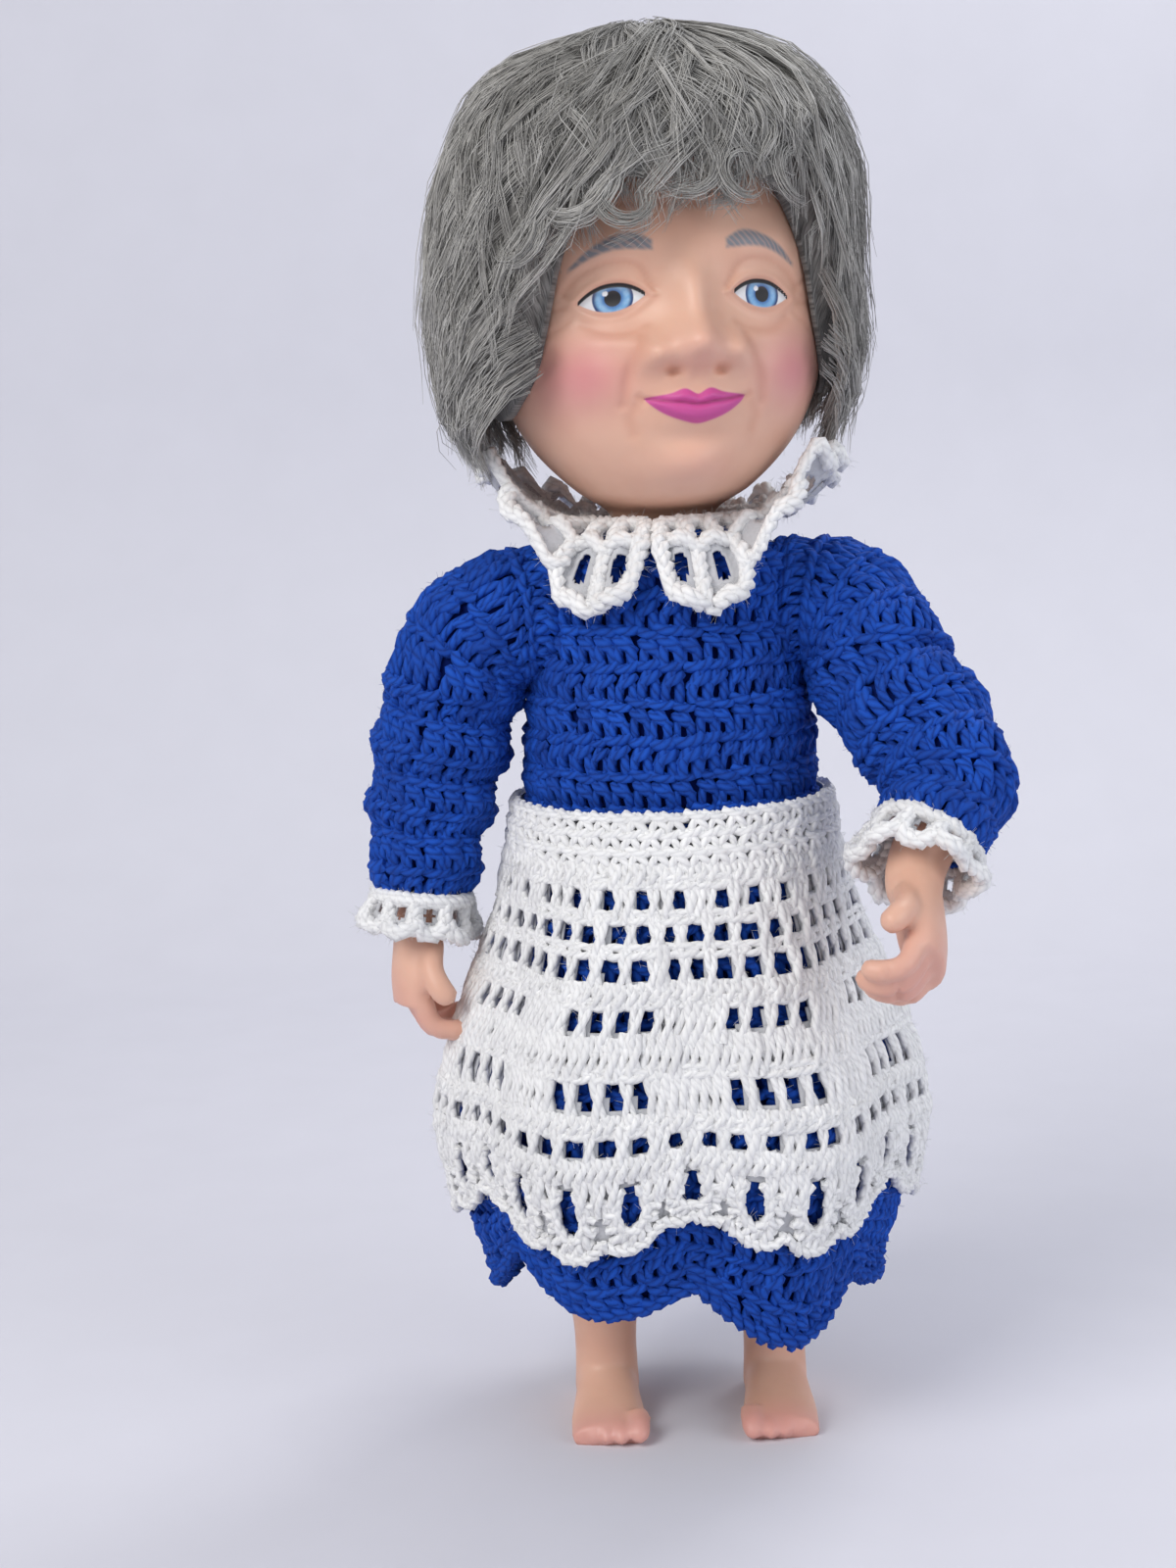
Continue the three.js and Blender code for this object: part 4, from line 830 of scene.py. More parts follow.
@dataclass
class Crochet:
    """Works stitches onto a surface, and makes their yarn, loose fibres and ground.

    The surface gives points by across, up and out. The cloth rides on a body and is worn over another piece.
    """

    surface: Surface
    seed: int
    body: str
    under: str
    yarn: Yarn
    fibre_radius: float = 0.06
    ground_thickness: float = 0.6

    def __post_init__(self) -> None:
        """Starts with no stitches."""
        self.skein = Skein(self.seed)
        self.pieces: list[Piece] = []

    def metric(self, across: Array, up: Level) -> Array:
        """Millimetres of fabric for one unit across."""
        sides = (self.surface(across + step, up, 0) for step in (0.01, -0.01))
        return np.linalg.norm(np.subtract(*sides), axis=-1) / 0.02

    def work(
        self, kind: Stitch, across: Array, width: Level, low: Level, high: Level,
        mirror: int = 1, slant: object = 0.0, out: float = 0.0, uneven: float = 1.0,
        keep: Optional[Callable[[Array], Array]] = None,
    ) -> None:
        """Adds a set of stitches.

        Args:
            kind: The stitch.
            across: Middle of each stitch.
            width: Units across for one unit of the stitch's own width.
            low: Foot of each stitch, up the surface.
            high: Head of each stitch, up the surface.
            mirror: 1, or -1 for a row worked the other way.
            slant: How far the head leans across, in stitch widths.
            out: How far the stitches stand out, in millimetres.
            uneven: Share of the hand-made unevenness.
            keep: Test on the stitches' middles that says which are made.
        """
        values = np.stack(np.broadcast_arrays(across, width, low, high, slant)).astype(float)
        if keep is not None:
            values = values[:, keep(self.surface(values[0], (low + high) / 2, 0))]
        across, width, low, high, slant = values[..., None]
        if not len(across):
            return
        rnd = self.skein.random
        wobble = rnd.normal(0, 1, (3, len(across))) * np.array([0.06, 0.03, 0.2])[:, None] * uneven
        scale = 1 + rnd.normal(0, 0.07, len(across)) * uneven
        tone = np.clip(rnd.normal(0.6, 0.2, len(across)), 0.1, 1)
        for line in kind.lines():
            u = mirror * line[:, 0] + slant * line[:, 1] + wobble[0][:, None]
            v = line[:, 1] + wobble[1][:, None]
            w = line[:, 2] + wobble[2][:, None] + out
            self.skein.add(self.surface(across + u * width, low + v * (high - low), w), scale[:, None], tone)

    def to_and_fro(
        self, row: int, across: Array, width: float, low: float, high: float, keep: Optional[Callable] = None
    ) -> None:
        """Works one close row of the dress; every other row turns the other way."""
        way = 2 * (row % 2) - 1
        self.work(Stitch.DOUBLE, across, width, low, high, way, out=-1.7, uneven=1.6, keep=keep)

    def rope(self, path: Array, half: float, lay: float, strands: int, lift: float = 0.0) -> None:
        """Strands twined along a path on the fabric.

        Args:
            path: Places across and up, one row each.
            half: Distance of each strand from the rope's middle in millimetres.
            lay: Length of one turn in millimetres.
            strands: Number of strands.
            lift: How far the rope stands out.
        """
        length = strides(self.surface(path[:, 0], path[:, 1], 0)).sum()
        count = max(5, int(length / 1.7) + 2)
        across, up = through(path, count).T
        middle = self.surface(across, up, 0)
        normal = unit(self.surface(across, up, 1) - middle)
        side = np.cross(normal, unit(np.gradient(middle, axis=0)))
        run = np.concatenate([[0], np.cumsum(strides(middle))])
        begin, tone = self.skein.random.uniform(0, TAU), self.skein.random.uniform(0.4, 0.95)
        for k in range(strands):
            turn = begin + TAU * (run / lay + k / strands)
            wobble = self.skein.random.normal(0, 0.12, (count, 3))
            sway, rise = half * np.cos(turn)[:, None], (lift + 0.8 * half * np.sin(turn))[:, None]
            self.skein.add((middle + sway * side + rise * normal + wobble)[None], 1.0, np.array([tone]))

    def strands(self, name: str, radius: float, sides: int, *nodes: str) -> None:
        """Makes the worked yarn, of a radius in millimetres, in place of the given solids."""
        piece = self.skein.sweep(name, radius, sides, self.yarn.strand)
        self.pieces.append(settle(piece, self.body, self.yarn.slot, *nodes))

    def fluff(self, name: str, count: int, length: float) -> None:
        """Makes short loose fibres that stand off the worked yarn.

        Args:
            name: The piece's name.
            count: Number of fibres.
            length: Greatest length in millimetres.
        """
        rnd, made = self.skein.random, Skein(count)
        strand = np.concatenate([p[:, 1:-1].reshape(-1, 3) for p in self.skein.paths])
        root = strand[rnd.integers(0, len(strand), count)]
        heading = unit(rnd.normal(0, 1, (count, 3))) * rnd.uniform(0.4, 1, (count, 1)) * length
        made.add(np.stack([root, root + heading], axis=1), np.array([1, 0.5]))
        piece = made.sweep(name, self.fibre_radius, 3, self.yarn.strand)
        self.pieces.append(settle(piece, self.body, self.yarn.slot))

    def ground(
        self, name: str, across: Steps, up: Steps, out: float, held: str, keep: Optional[Keep] = None
    ) -> None:
        """Makes the thin matted sheet behind the stitches.

        Args:
            name: The piece's name.
            across: First and last place of the sheet's columns, and their number.
            up: First and last place of its rows, and their number.
            out: How far it stands out.
            held: How the cloth is held; not used.
            keep: Test on places across and up that says where the sheet is made.
        """
        a, s = np.meshgrid(np.linspace(*across), np.linspace(*up))
        levels = (out, out - self.ground_thickness)
        outer, inner = (self.surface(a, s, np.full_like(a, level)) for level in levels)
        middle = [(v[:-1, :-1] + v[1:, 1:]) / 2 for v in (a, s)]
        kept = np.ones(middle[0].shape, bool) if keep is None else keep(*middle)
        # the sheet's darker finish is painted shade in the gaps between the stitches
        piece = Mesh().sheet(outer, inner, kept).object(name, self.yarn.ground)
        settle(piece, self.body, self.yarn.slot)
        wide, long = (strides(outer, k).sum(axis=k).max() * MM for k in (1, 0))
        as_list(self.pieces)


@dataclass
class BodyForm:
    """Outlines of the torso's clothes, in millimetres about the body's axis."""

    heights: Numbers = (178, 190, 202, 215, 227, 236, 241.5, 244.2, 245.4, 249.7)
    widths: Numbers = (39.7, 39.3, 38.8, 38.0, 36.9, 36.6, 35.2, 30.5, 25.0, 22.8)
    depths: Numbers = (34.2, 34.5, 34.3, 32.5, 29.7, 27.6, 26.0, 24.6, 23.4, 23.0)
    skirt_heights: Numbers = (31, 89, 146, 177.6)
    skirt_widths: Numbers = (50, 62, 44.8, 39.7)
    skirt_depths: Numbers = (45, 56, 45, 34.2)
    fold_depth: float = 2.6
    folds: int = 6
    hem_lobes: int = 6
    lobe_depth: float = 14.0
    hem_tilt: float = 6.4
    skirt_length: float = 147.0
    apron_length: float = 111.0

    def __post_init__(self) -> None:
        """Measures the bodice along its rise."""
        steps = np.arange(len(self.heights))
        fine = np.linspace(0, len(self.heights) - 1, 300)
        self.z, self.w, self.d = (Profile(steps, v)(fine) for v in (self.heights, self.widths, self.depths))
        reach = (self.w + self.d) / 2
        run = np.hypot(np.diff(self.z), np.diff(reach))
        self.run = np.concatenate([[0], np.cumsum(run)])
        slope = np.stack([np.gradient(self.z, self.run), -np.gradient(reach, self.run)])
        self.lean = slope / np.linalg.norm(slope, axis=0)

    @property
    def rise(self) -> float:
        """Length of the bodice from waist to neck, over its curve."""
        return float(self.run[-1])

    def bodice(self, across: Array, up: Level, out: Level) -> Array:
        """Point of the bodice by angle from the front, rise from the waist and height off the cloth."""
        z, w, d, nr, nz = (np.interp(up, self.run, v) for v in (self.z, self.w, self.d, *self.lean))
        return stacked((w + out * nr) * np.sin(across), -(d + out * nr) * np.cos(across), z + out * nz)

    def hang(self, z: Array) -> Array:
        """How freely the skirt hangs at a height."""
        return np.clip((WAIST_Z - 13 - z) / 32, 0, 1)

    def flare(self, z: Array, across: Array, out: Array) -> Array:
        """Point of the skirt's outline at a height, an angle from the front and a height off the cloth."""
        fold = -self.fold_depth * self.hang(z) * np.cos(across * self.folds)
        sizes = (self.skirt_widths, self.skirt_depths)
        w, d = (Profile(self.skirt_heights, size)(z) + out + fold for size in sizes)
        return stacked(w * np.sin(across), -d * np.cos(across), z)

    def lobes(self, across: Array) -> Array:
        """How far the hem's lobes hang down."""
        return self.lobe_depth * (np.abs(np.sin(across * self.hem_lobes / 2)) - 0.5)

    def skirt(self, across: Array, up: Level, out: Level) -> Array:
        """Point of the skirt; up runs from 0 at the hem to 1 at the waist."""
        share = 1 - up
        drop = (self.lobes(across) + self.hem_tilt * np.sin(2 * across)) * np.clip(share, 0, None) ** 4
        z = WAIST_Z - 0.4 - share * (self.skirt_length - 0.4 - self.lobe_depth + drop)
        return self.flare(z, across, out)

    def apron(self, across: Array, up: Level, out: Level) -> Array:
        """Point of the apron; up runs from 0 at the hem to 1 at the waistband."""
        share = 1 - up
        top = WAIST_Z - 14.2
        drop = self.lobes(across) * np.clip(share, 0, None) ** 4
        return self.flare(top - share * (top - WAIST_Z + self.apron_length + drop), across, out + 3.0)

    def band(self, across: Array, up: Level, out: Level) -> Array:
        """Point of the waistband; up runs from 0 at its foot to 1 at its head."""
        return self.flare(WAIST_Z - 13.8 + 13 * up, across, out + 3.0)


@dataclass
class Dress:
    """Crocheted bodice and skirt in blue yarn."""

    form: BodyForm
    wardrobe: Wardrobe
    yarn: float = 1.45
    stitch_width: float = 5.5
    row_height: float = 9.2
    armhole: float = 12.6
    placket: float = 0.6
    skirt_rows: int = 15

    def in_armhole(self, points: Array) -> Array:
        """Tells which points lie inside an armhole."""
        hit = np.zeros(points.shape[:-1], bool)
        for side in (1, -1):
            local = (points - [side * SHOULDER_X, 0, SHOULDER_Z]) @ rotation(-12 * side)
            hit |= (side * local[..., 0] > 0) & (np.hypot(local[..., 1], local[..., 2]) < self.armhole)
        return hit

    def bodice(self) -> None:
        """Rows of double crochet from waist to neck, open down the back, and their ground."""
        form = self.form
        cloth = Crochet(form.bodice, 11, "torso", "torso", self.wardrobe.blue)
        rows = int(round(form.rise / self.row_height))
        height = form.rise / rows
        edge = pi - self.placket / 34
        for row in range(rows):
            low, high = row * height, (row + 1) * height
            ring = float(np.interp((low + high) / 2, form.run, (form.w + form.d) / 2))
            count = int(round(2 * edge * ring / self.stitch_width))
            across = middles(-edge, 2 * edge, count)
            cloth.to_and_fro(row, across, 2 * edge / count, low, high, keep=lambda at: ~self.in_armhole(at))
        cloth.strands("bodice_stitches", self.yarn, 5, "bodice")
        cloth.fluff("bodice_fluff", 3200, 3.2)

        def keep(across: Array, up: Array) -> Array:
            """Cloth outside the armholes."""
            return ~self.in_armhole(form.bodice(across, up, 0))

        cloth.ground("bodice_ground", (-edge, edge, 97), (form.rise, 0, 44), -2.5, "stretched", keep)

    def skirt(self) -> None:
        """Rounds of double crochet from waist to lobed hem, in a front and a back piece, and their ground."""
        form, rows, made = self.form, self.skirt_rows, []
        for half, name, nodes in ((0, "skirt_front", ("skirt",)), (1, "skirt_back", ())):
            cloth = Crochet(form.skirt, 21 + half, "torso", "torso", self.wardrobe.blue)
            for row in range(rows):
                low, high = row / rows, (row + 1) / rows
                length = strides(form.skirt(np.linspace(0, TAU, 120), (low + high) / 2, 0)).sum()
                count = 2 * int(round(length / self.stitch_width / 2))
                across = middles(-pi / 2 + half * pi, pi, count // 2)
                cloth.to_and_fro(row, across, TAU / count, low, high)
            line = np.linspace(-pi / 2, pi / 2, 90) + half * pi
            cloth.rope(stacked(line, 0.008), 1.2, 8.0, 2, -0.4)
            cloth.strands(f"{name}_stitches", self.yarn, 5 - half, *nodes)
            cloth.fluff(f"{name}_fluff", 3200, 3.2)
            made += cloth.pieces
        cloth.pieces = made
        cloth.ground("skirt_ground", (-pi, pi, 129), (1, 0.01, 40), -2.5, "hung")

    def build(self) -> None:
        """Makes bodice and skirt."""
        self.bodice()
        self.skirt()


@dataclass(frozen=True)
class LaceRow:
    """One row of the lace: close posts that leave holes. Low and high are shares of the apron's height."""

    low: float
    high: float
    pitch: float
    holes: Array
    gap: float = 0.0
    lean: float = 0.0


@dataclass
class Apron:
    """White lace apron on its waistband, worked row by row from a chart."""

    form: BodyForm
    wardrobe: Wardrobe
    yarn: float = 1.18
    wrap: float = 152.0
    band_stitches: int = 54
    scallops: int = 21
    length: float = 97.0
    loop_length: float = 4.4
    loop_height: float = 0.0125
    hem_top: float = 0.205
    eye_up: float = 0.12
    eye_wide: float = 3.3
    eye_tall: float = 5.6

    def posts(self, cloth: Crochet, across: Array, low: float, high: float, slant: float = 0.0) -> None:
        """Posts at given angles, with their width in millimetres of cloth."""
        across = np.asarray(across, float)
        scale = cloth.metric(across, (low + high) / 2)
        cloth.work(Stitch.POST, across, 1.1 / scale, low - 0.008, high + 0.008, slant=slant, uneven=1.5)

    def row(self, cloth: Crochet, row: LaceRow, start: float, end: float) -> None:
        """Works one row of posts between its holes, and the chain on top of it.

        Args:
            cloth: Where it is worked.
            row: The row of the chart.
            start: Angle where it starts.
            end: Angle where it ends.
        """
        scale = float(cloth.metric(np.array([0.4]), np.array([(row.low + row.high) / 2]))[0])
        beyond = row.gap / 2 / scale
        edges = np.sort(np.concatenate([[start - beyond], row.holes, [end + beyond]]))
        for left, right in zip(edges, edges[1:]):
            a, b = left + (row.gap / 2 + 1.5) / scale, right - (row.gap / 2 + 1.5) / scale
            count = max(1, int(round((b - a) * scale / row.pitch)) + 1)
            across = np.linspace(a, b, count) if count > 1 else [(a + b) / 2]
            self.posts(cloth, across, row.low, row.high, row.lean)
        if len(row.holes):
            span = end - start
            length = span * float(cloth.metric(np.linspace(start, end, 200), row.high).mean())
            count = int(round(length / self.loop_length))
            top = row.high + self.loop_height
            cloth.work(Stitch.CHAIN, middles(start, span, count), span / count, row.high, top, out=-0.4)

    def waistband(self) -> None:
        """Three close rounds with small gaps between the stitches, and their ground."""
        cloth = Crochet(self.form.band, 31, "torso", "skirt_ground", self.wardrobe.white)
        count = self.band_stitches
        for row in range(3):
            across = (np.arange(count) + 0.5 * (row % 2)) * TAU / count
            cloth.work(Stitch.SINGLE, across, TAU / count, row / 3, (row + 1) / 3, 2 * (row % 2) - 1)
        cloth.strands("waistband_stitches", self.yarn * 0.92, 6, "waistband")

        def keep(across: Array, up: Array) -> Array:
            """Cloth outside the two rounds of small holes."""
            beside = np.abs((across * count / TAU) % 1 - 0.5)
            return ~((np.minimum(np.abs(up - 0.34), np.abs(up - 0.68)) < 0.1) & (beside < 0.2))

        cloth.ground("waistband_ground", (-pi, pi, count * 5 + 1), (1, 0, 16), -0.7, "stretched", keep)

    def chart(self, start: float, end: float) -> list[LaceRow]:
        """The rows between waistband and hem.

        Args:
            start: Angle where the stretch of the apron starts.
            end: Angle where it ends.
        Returns:
            The rows from the top down.
        """
        wrap, loose = radians(self.wrap), np.random.default_rng(5)

        def spaced(count: int) -> Array:
            """Holes spread almost evenly over the whole apron; those in the stretch are kept."""
            at = middles(-wrap, 2 * wrap, count) + loose.normal(0, 0.011, count)
            return at[(at > start) & (at < end)]

        motif = 2 * wrap / 7
        group = np.array([-1.5, -0.5, 0.5, 1.5]) * motif * 0.155
        slots = np.concatenate([(k + 0.5) * motif + group for k in range(-4, 4)])
        slots = slots[(slots > start + 0.03) & (slots < end - 0.03)]
        none = np.zeros(0)
        return [
            LaceRow(0.962, 1.0, 3.2, none),
            LaceRow(0.872, 0.962, 2.9, spaced(25), 3.2),
            LaceRow(0.785, 0.872, 4.2, spaced(36), 4.0),
            LaceRow(0.693, 0.785, 4.2, spaced(36), 4.0),
            LaceRow(0.655, 0.693, 3.0, none),
            LaceRow(0.555, 0.655, 2.9, slots, 3.1, 1.6),
            LaceRow(0.47, 0.555, 2.7, none),
            LaceRow(0.355, 0.47, 2.9, slots + motif * 0.02, 3.3, -1.8),
            LaceRow(0.325, 0.355, 3.0, none),
            LaceRow(0.245, 0.325, 4.4, spaced(40), 4.2),
            LaceRow(self.hem_top, 0.245, 2.8, none),
        ]

    def edge(self, across: Array) -> Array:
        """Place of the scalloped hem up the apron."""
        pitch = 2 * radians(self.wrap) / self.scallops
        beside = ((np.asarray(across) + radians(self.wrap)) / pitch) % 1 - 0.5
        return 0.034 * np.abs(2 * beside) ** 2.2

    def lace(self, half: int) -> None:
        """Makes one half of the lace, from waistband to hem.

        Args:
            half: -1 for the doll's right and 1 for its left.
        """
        cloth = Crochet(self.form.apron, 40 + half, "torso", "skirt_ground", self.wardrobe.white)
        wrap = radians(self.wrap)
        pitch = 2 * wrap / self.scallops
        start, end = (-0.5 * pitch, wrap) if half > 0 else (-wrap, -0.5 * pitch)
        rows = self.chart(start, end)
        for row in rows:
            self.row(cloth, row, start, end)
        centres = -wrap + (np.arange(self.scallops) + 0.5) * pitch
        centres = centres[(centres > start) & (centres < end)]
        for centre in centres:
            self.fan(cloth, centre, pitch)
        name = "apron_left" if half > 0 else "apron_right"
        nodes = ("apron",) if half > 0 else ()
        cloth.strands(f"{name}_lace", self.yarn, 5, *nodes)
        cloth.fluff(f"{name}_fluff", 7500, 3.9)

        def keep(across: Array, up: Array) -> Array:
            """Cloth above the scalloped edge and outside the holes."""
            scale = cloth.metric(across, up)
            made = up > self.edge(across) + 0.008
            for row in rows:
                inside = (up > row.low + 0.016) & (up < row.high - 0.012)
                shift = row.lean * ((up - row.low) / (row.high - row.low)) / scale
                for hole in row.holes:
                    made &= ~(inside & (np.abs(across - hole - shift) * scale < row.gap / 2 + 0.3))
            for centre in centres:
                beside, above = (across - centre) * scale, (up - self.eye_up) * self.length
                made &= np.hypot(beside / self.eye_wide, above / self.eye_tall) > 1
            return made

        cloth.ground(f"{name}_ground", (start, end, 132), (1, 0, 86), -0.7, "gathered", keep)

    def fan(self, cloth: Crochet, centre: float, pitch: float) -> None:
        """A fan of posts round an oval hole, with a looped edge.

        Args:
            cloth: Where it is worked.
            centre: Angle of its middle.
            pitch: Its width as an angle.
        """
        scale = float(cloth.metric(np.array([centre]), np.array([self.eye_up]))[0])

        def path(points: Array) -> Array:
            """Places on the cloth of points in millimetres from the hole's middle."""
            return stacked(centre + points[:, 0] / scale, self.eye_up + points[:, 1] / self.length)

        half = pitch * scale / 2
        low = self.eye_up * self.length
        for angle in np.radians(np.linspace(-105, 105, 11)):
            inner = np.array([(self.eye_wide + 1.0) * sin(angle), -(self.eye_tall + 0.6) * cos(angle)])
            outer = np.array([half * 0.9 * sin(angle), -(low - 2.0) * cos(angle)])
            cloth.rope(path(np.linspace(inner, outer, 4)), 0.75, 8.0, 2)
        across = np.linspace(-half, half, 9)
        rim = self.edge(centre + across / scale) * self.length
        cloth.rope(path(stacked(across, rim + 1.4 - low)), 1.1, 5.0, 2, 0.4)
        turn = np.radians(np.linspace(-150, 150, 9))
        ring = stacked((self.eye_wide + 0.9) * np.sin(turn), -(self.eye_tall + 0.6) * np.cos(turn))
        cloth.rope(path(ring), 0.6, 7.0, 2, 0.2)
        beside = centre + np.array([-0.92, -0.52, 0.52, 0.92]) * half / scale
        self.posts(cloth, beside, self.eye_up + 0.01, self.hem_top)

    def build(self) -> None:
        """Makes the waistband and both halves of the lace."""
        self.waistband()
        self.lace(-1)
        self.lace(1)


@dataclass
class Collar:
    """One half of the white ruffled collar: side is 1 for the doll's left and -1 for its right."""

    wardrobe: Wardrobe
    side: int
    yarn: float = 1.45
    neckline: float = 20.5
    front_reach: float = 38.0
    side_reach: float = 49.0
    back_reach: float = 45.0
    front_drop: float = 14.0
    side_rise: float = 29.0
    back_rise: float = 10.0
    ruffles: int = 11
    ruffle: float = 3.4
    split: float = 5.0
    corner: float = 18.0
    level: float = 30.0
    upright: float = 68.0
    corner_reach: float = 29.0
    corner_rise: float = 7.0
    turn: float = -9.0
    stand: float = 249.7
    band: float = 0.5
    small_holes: int = 11
    loops: int = 9
    loop_foot: float = 0.76
    loop_height: float = 0.2

    def at(self, across: Array, up: Level, out: Level) -> Array:
        """Points of the collar.

        Args:
            across: Angles from the front.
            up: Shares of the way from neck to edge.
            out: Heights off the cloth.
        Returns:
            Places in the body's frame.
        """
        front = 1 - smooth(across, radians(self.level), radians(self.upright))
        back = np.clip(-np.cos(across), 0, 1)
        full = smooth(across, 0, radians(self.corner))

        def pick(ahead: float, beside: float, behind: float, corner: float) -> Array:
            """A measure of the edge between its front, side and back, drawn in at the corner."""
            plain = beside + (ahead - beside) * front + (behind - beside) * back
            return corner + (plain - corner) * full

        reach = pick(self.front_reach, self.side_reach, self.back_reach, self.corner_reach)
        rise = pick(-self.front_drop, self.side_rise, self.back_rise, self.corner_rise)
        far = np.clip(up - 0.1, 0, None) / 0.9
        radius = self.neckline + (reach - self.neckline) * up
        wave = self.ruffle * far * np.cos(across * 2 * self.ruffles)
        z = self.stand + 0.4 + (NECK_Z + rise - self.stand - 0.4) * far ** 2 + wave + 1.3
        z = z + out * np.clip(1 - 0.35 * far, 0.5, 1)
        ring = radius + out * 0.35
        return stacked(self.side * ring * np.sin(across), -ring * np.cos(across), z) @ rotation(self.turn).T

    def build(self) -> None:
        """A row of posts with small holes, an edge of thick loops round larger ones, and their ground."""
        cloth = Crochet(self.at, 51 + self.side, "torso", "bodice_ground", self.wardrobe.white)
        start, end = radians(self.split), pi - radians(self.split)
        small, large = (middles(start, end - start, count) for count in (self.small_holes, self.loops))
        for count, low, high in ((self.small_holes, 0.06, self.band), (self.loops, self.band, 0.8)):
            for at in np.linspace(start, end, count + 1):
                cloth.rope(stacked(at, np.linspace(low, high, 4)), 1.2, 9.0, 3)
        for level in (0.05, self.band):
            cloth.rope(stacked(np.linspace(start, end, 40), level), 1.25, 8.0, 3, 0.3)
        bow = np.radians(np.linspace(-105, 105, 13))
        half = (end - start) / self.loops / 2
        for at in large:
            loop = stacked(at + half * np.sin(bow), self.loop_foot + self.loop_height * np.cos(bow))
            cloth.rope(loop, 1.75, 9.0, 3, 0.3)
        name = "left_collar" if self.side > 0 else "right_collar"
        cloth.strands(f"{name}_lace", self.yarn, 6, name)
        cloth.fluff(f"{name}_fluff", 4400, 4.2)

        def keep(across: Array, up: Array) -> Array:
            """Cloth within the looped edge and outside the holes."""
            scale = cloth.metric(across, up)
            beside = np.abs(((across - start) / half / 2) % 1 - 0.5)
            made = up < self.loop_foot + self.loop_height * np.sqrt(1 - (2 * beside) ** 2)
            for holes, level, wide, tall in ((small, 0.3, 1.3, 0.11), (large, 0.73, 2.5, 0.12)):
                for hole in holes:
                    made &= np.hypot((across - hole) * scale / wide, (up - level) / tall) > 1
            return made

        cloth.ground(f"{name}_ground", (start, end, 120), (0.04, 1, 34), -0.8, "gathered", keep)


@dataclass
class ArmForm:
    """Course of an arm in its own frame: outwards, then down to the wrist with a slightly bent elbow."""

    side: int
    swing: float
    bow: float
    run: float
    root: float = 9.8
    bend: float = radians(80)
    bend_radius: float = 19.5
    forearm: float = 69.0
    forward: float = 8.0

    def __post_init__(self) -> None:
        """Works out the stations along the arm."""
        self.bend_end = self.root + self.bend_radius * self.bend
        self.wrist = self.bend_end + self.forearm
        self.elbow = self.bend_end + self.forearm * 0.35
        stops = (0, self.root, self.bend_end, self.elbow, self.wrist)
        self.radius = Profile(stops, (13.4, 13.4, 12, 10, 7.4))
        stops = (0, self.bend_end, self.bend_end + self.forearm * 0.4, self.wrist)
        self.sleeve = Profile(stops, (18.5, 18.5, 17.6, 12.4))
        facing = -12 if self.side > 0 else 192
        self.turn = rotation(facing) @ rotation(-self.side * self.swing, "X")
        self.move = np.array([self.side * SHOULDER_X, 0, SHOULDER_Z])

    def local(self, along: Array) -> Array:
        """Middle of the arm at a length along it, in the arm's own frame."""
        along = np.asarray(along, float)
        turn = np.clip((along - self.root) / self.bend_radius, 0, self.bend)
        straight = np.maximum(0, along - self.bend_end)
        ahead = self.forward * np.maximum(0, (along - self.elbow) / (self.wrist - self.elbow)) ** 1.5
        bow = self.bow * np.sin(pi * np.minimum(1, straight / self.forearm)) ** 2
        x = np.minimum(along, self.root) + self.bend_radius * np.sin(turn) + straight * np.cos(turn) + bow
        return stacked(x, -self.side * ahead, self.bend_radius * (np.cos(turn) - 1) - straight * np.sin(turn))

    def frame(self, along: Array) -> tuple[Array, Array, Array]:
        """Directions of the arm there: along it, across it and forwards."""
        tangent = unit(self.local(np.asarray(along) + 0.5) - self.local(np.asarray(along) - 0.5))
        ahead = np.broadcast_to(np.array([0.0, -self.side, 0.0]), tangent.shape)
        ahead = unit(ahead - tangent * (ahead * tangent).sum(axis=-1, keepdims=True))
        return tangent, np.cross(ahead, tangent), ahead

    def place(self, points: Array) -> Array:
        """Moves points from the arm's own frame to the body's."""
        return points @ self.turn.T + self.move

    def around(self, across: Array, along: Array, radius: Array, wide: object = None) -> Array:
        """Point at an angle round the arm, a length along it and a radius, in the body's frame."""
        _, side, ahead = self.frame(along)
        wide = radius if wide is None else wide
        ring = side * (radius * np.cos(across))[..., None] + ahead * (wide * np.sin(across))[..., None]
        return self.place(self.local(along) + ring)

    def cloth(self, across: Array, along: Level, out: Level) -> Array:
        """Point of the sleeve at an angle round the arm, a length along it and a height off the cloth."""
        free = smooth(along, self.root + 8, self.bend_end)
        crumple = 1.2 * np.sin(along * 0.36 + 2 * np.sin(across)) * free
        return self.around(across, along, self.sleeve(along) + crumple + out)

    def ruffle(self, across: Array, along: Level, out: Level) -> Array:
        """Point of the cuff, which flares from the sleeve's end in waves."""
        start = self.bend_end + self.run + 0.4
        share = np.clip((along - start) / 9.0, 0, 1.3)
        plain = float(self.sleeve(start)) + 2.0 * share - 1.0
        return self.around(across, along, (plain + out) * (1 + share * 1.6 / plain * np.cos(across * 6)))


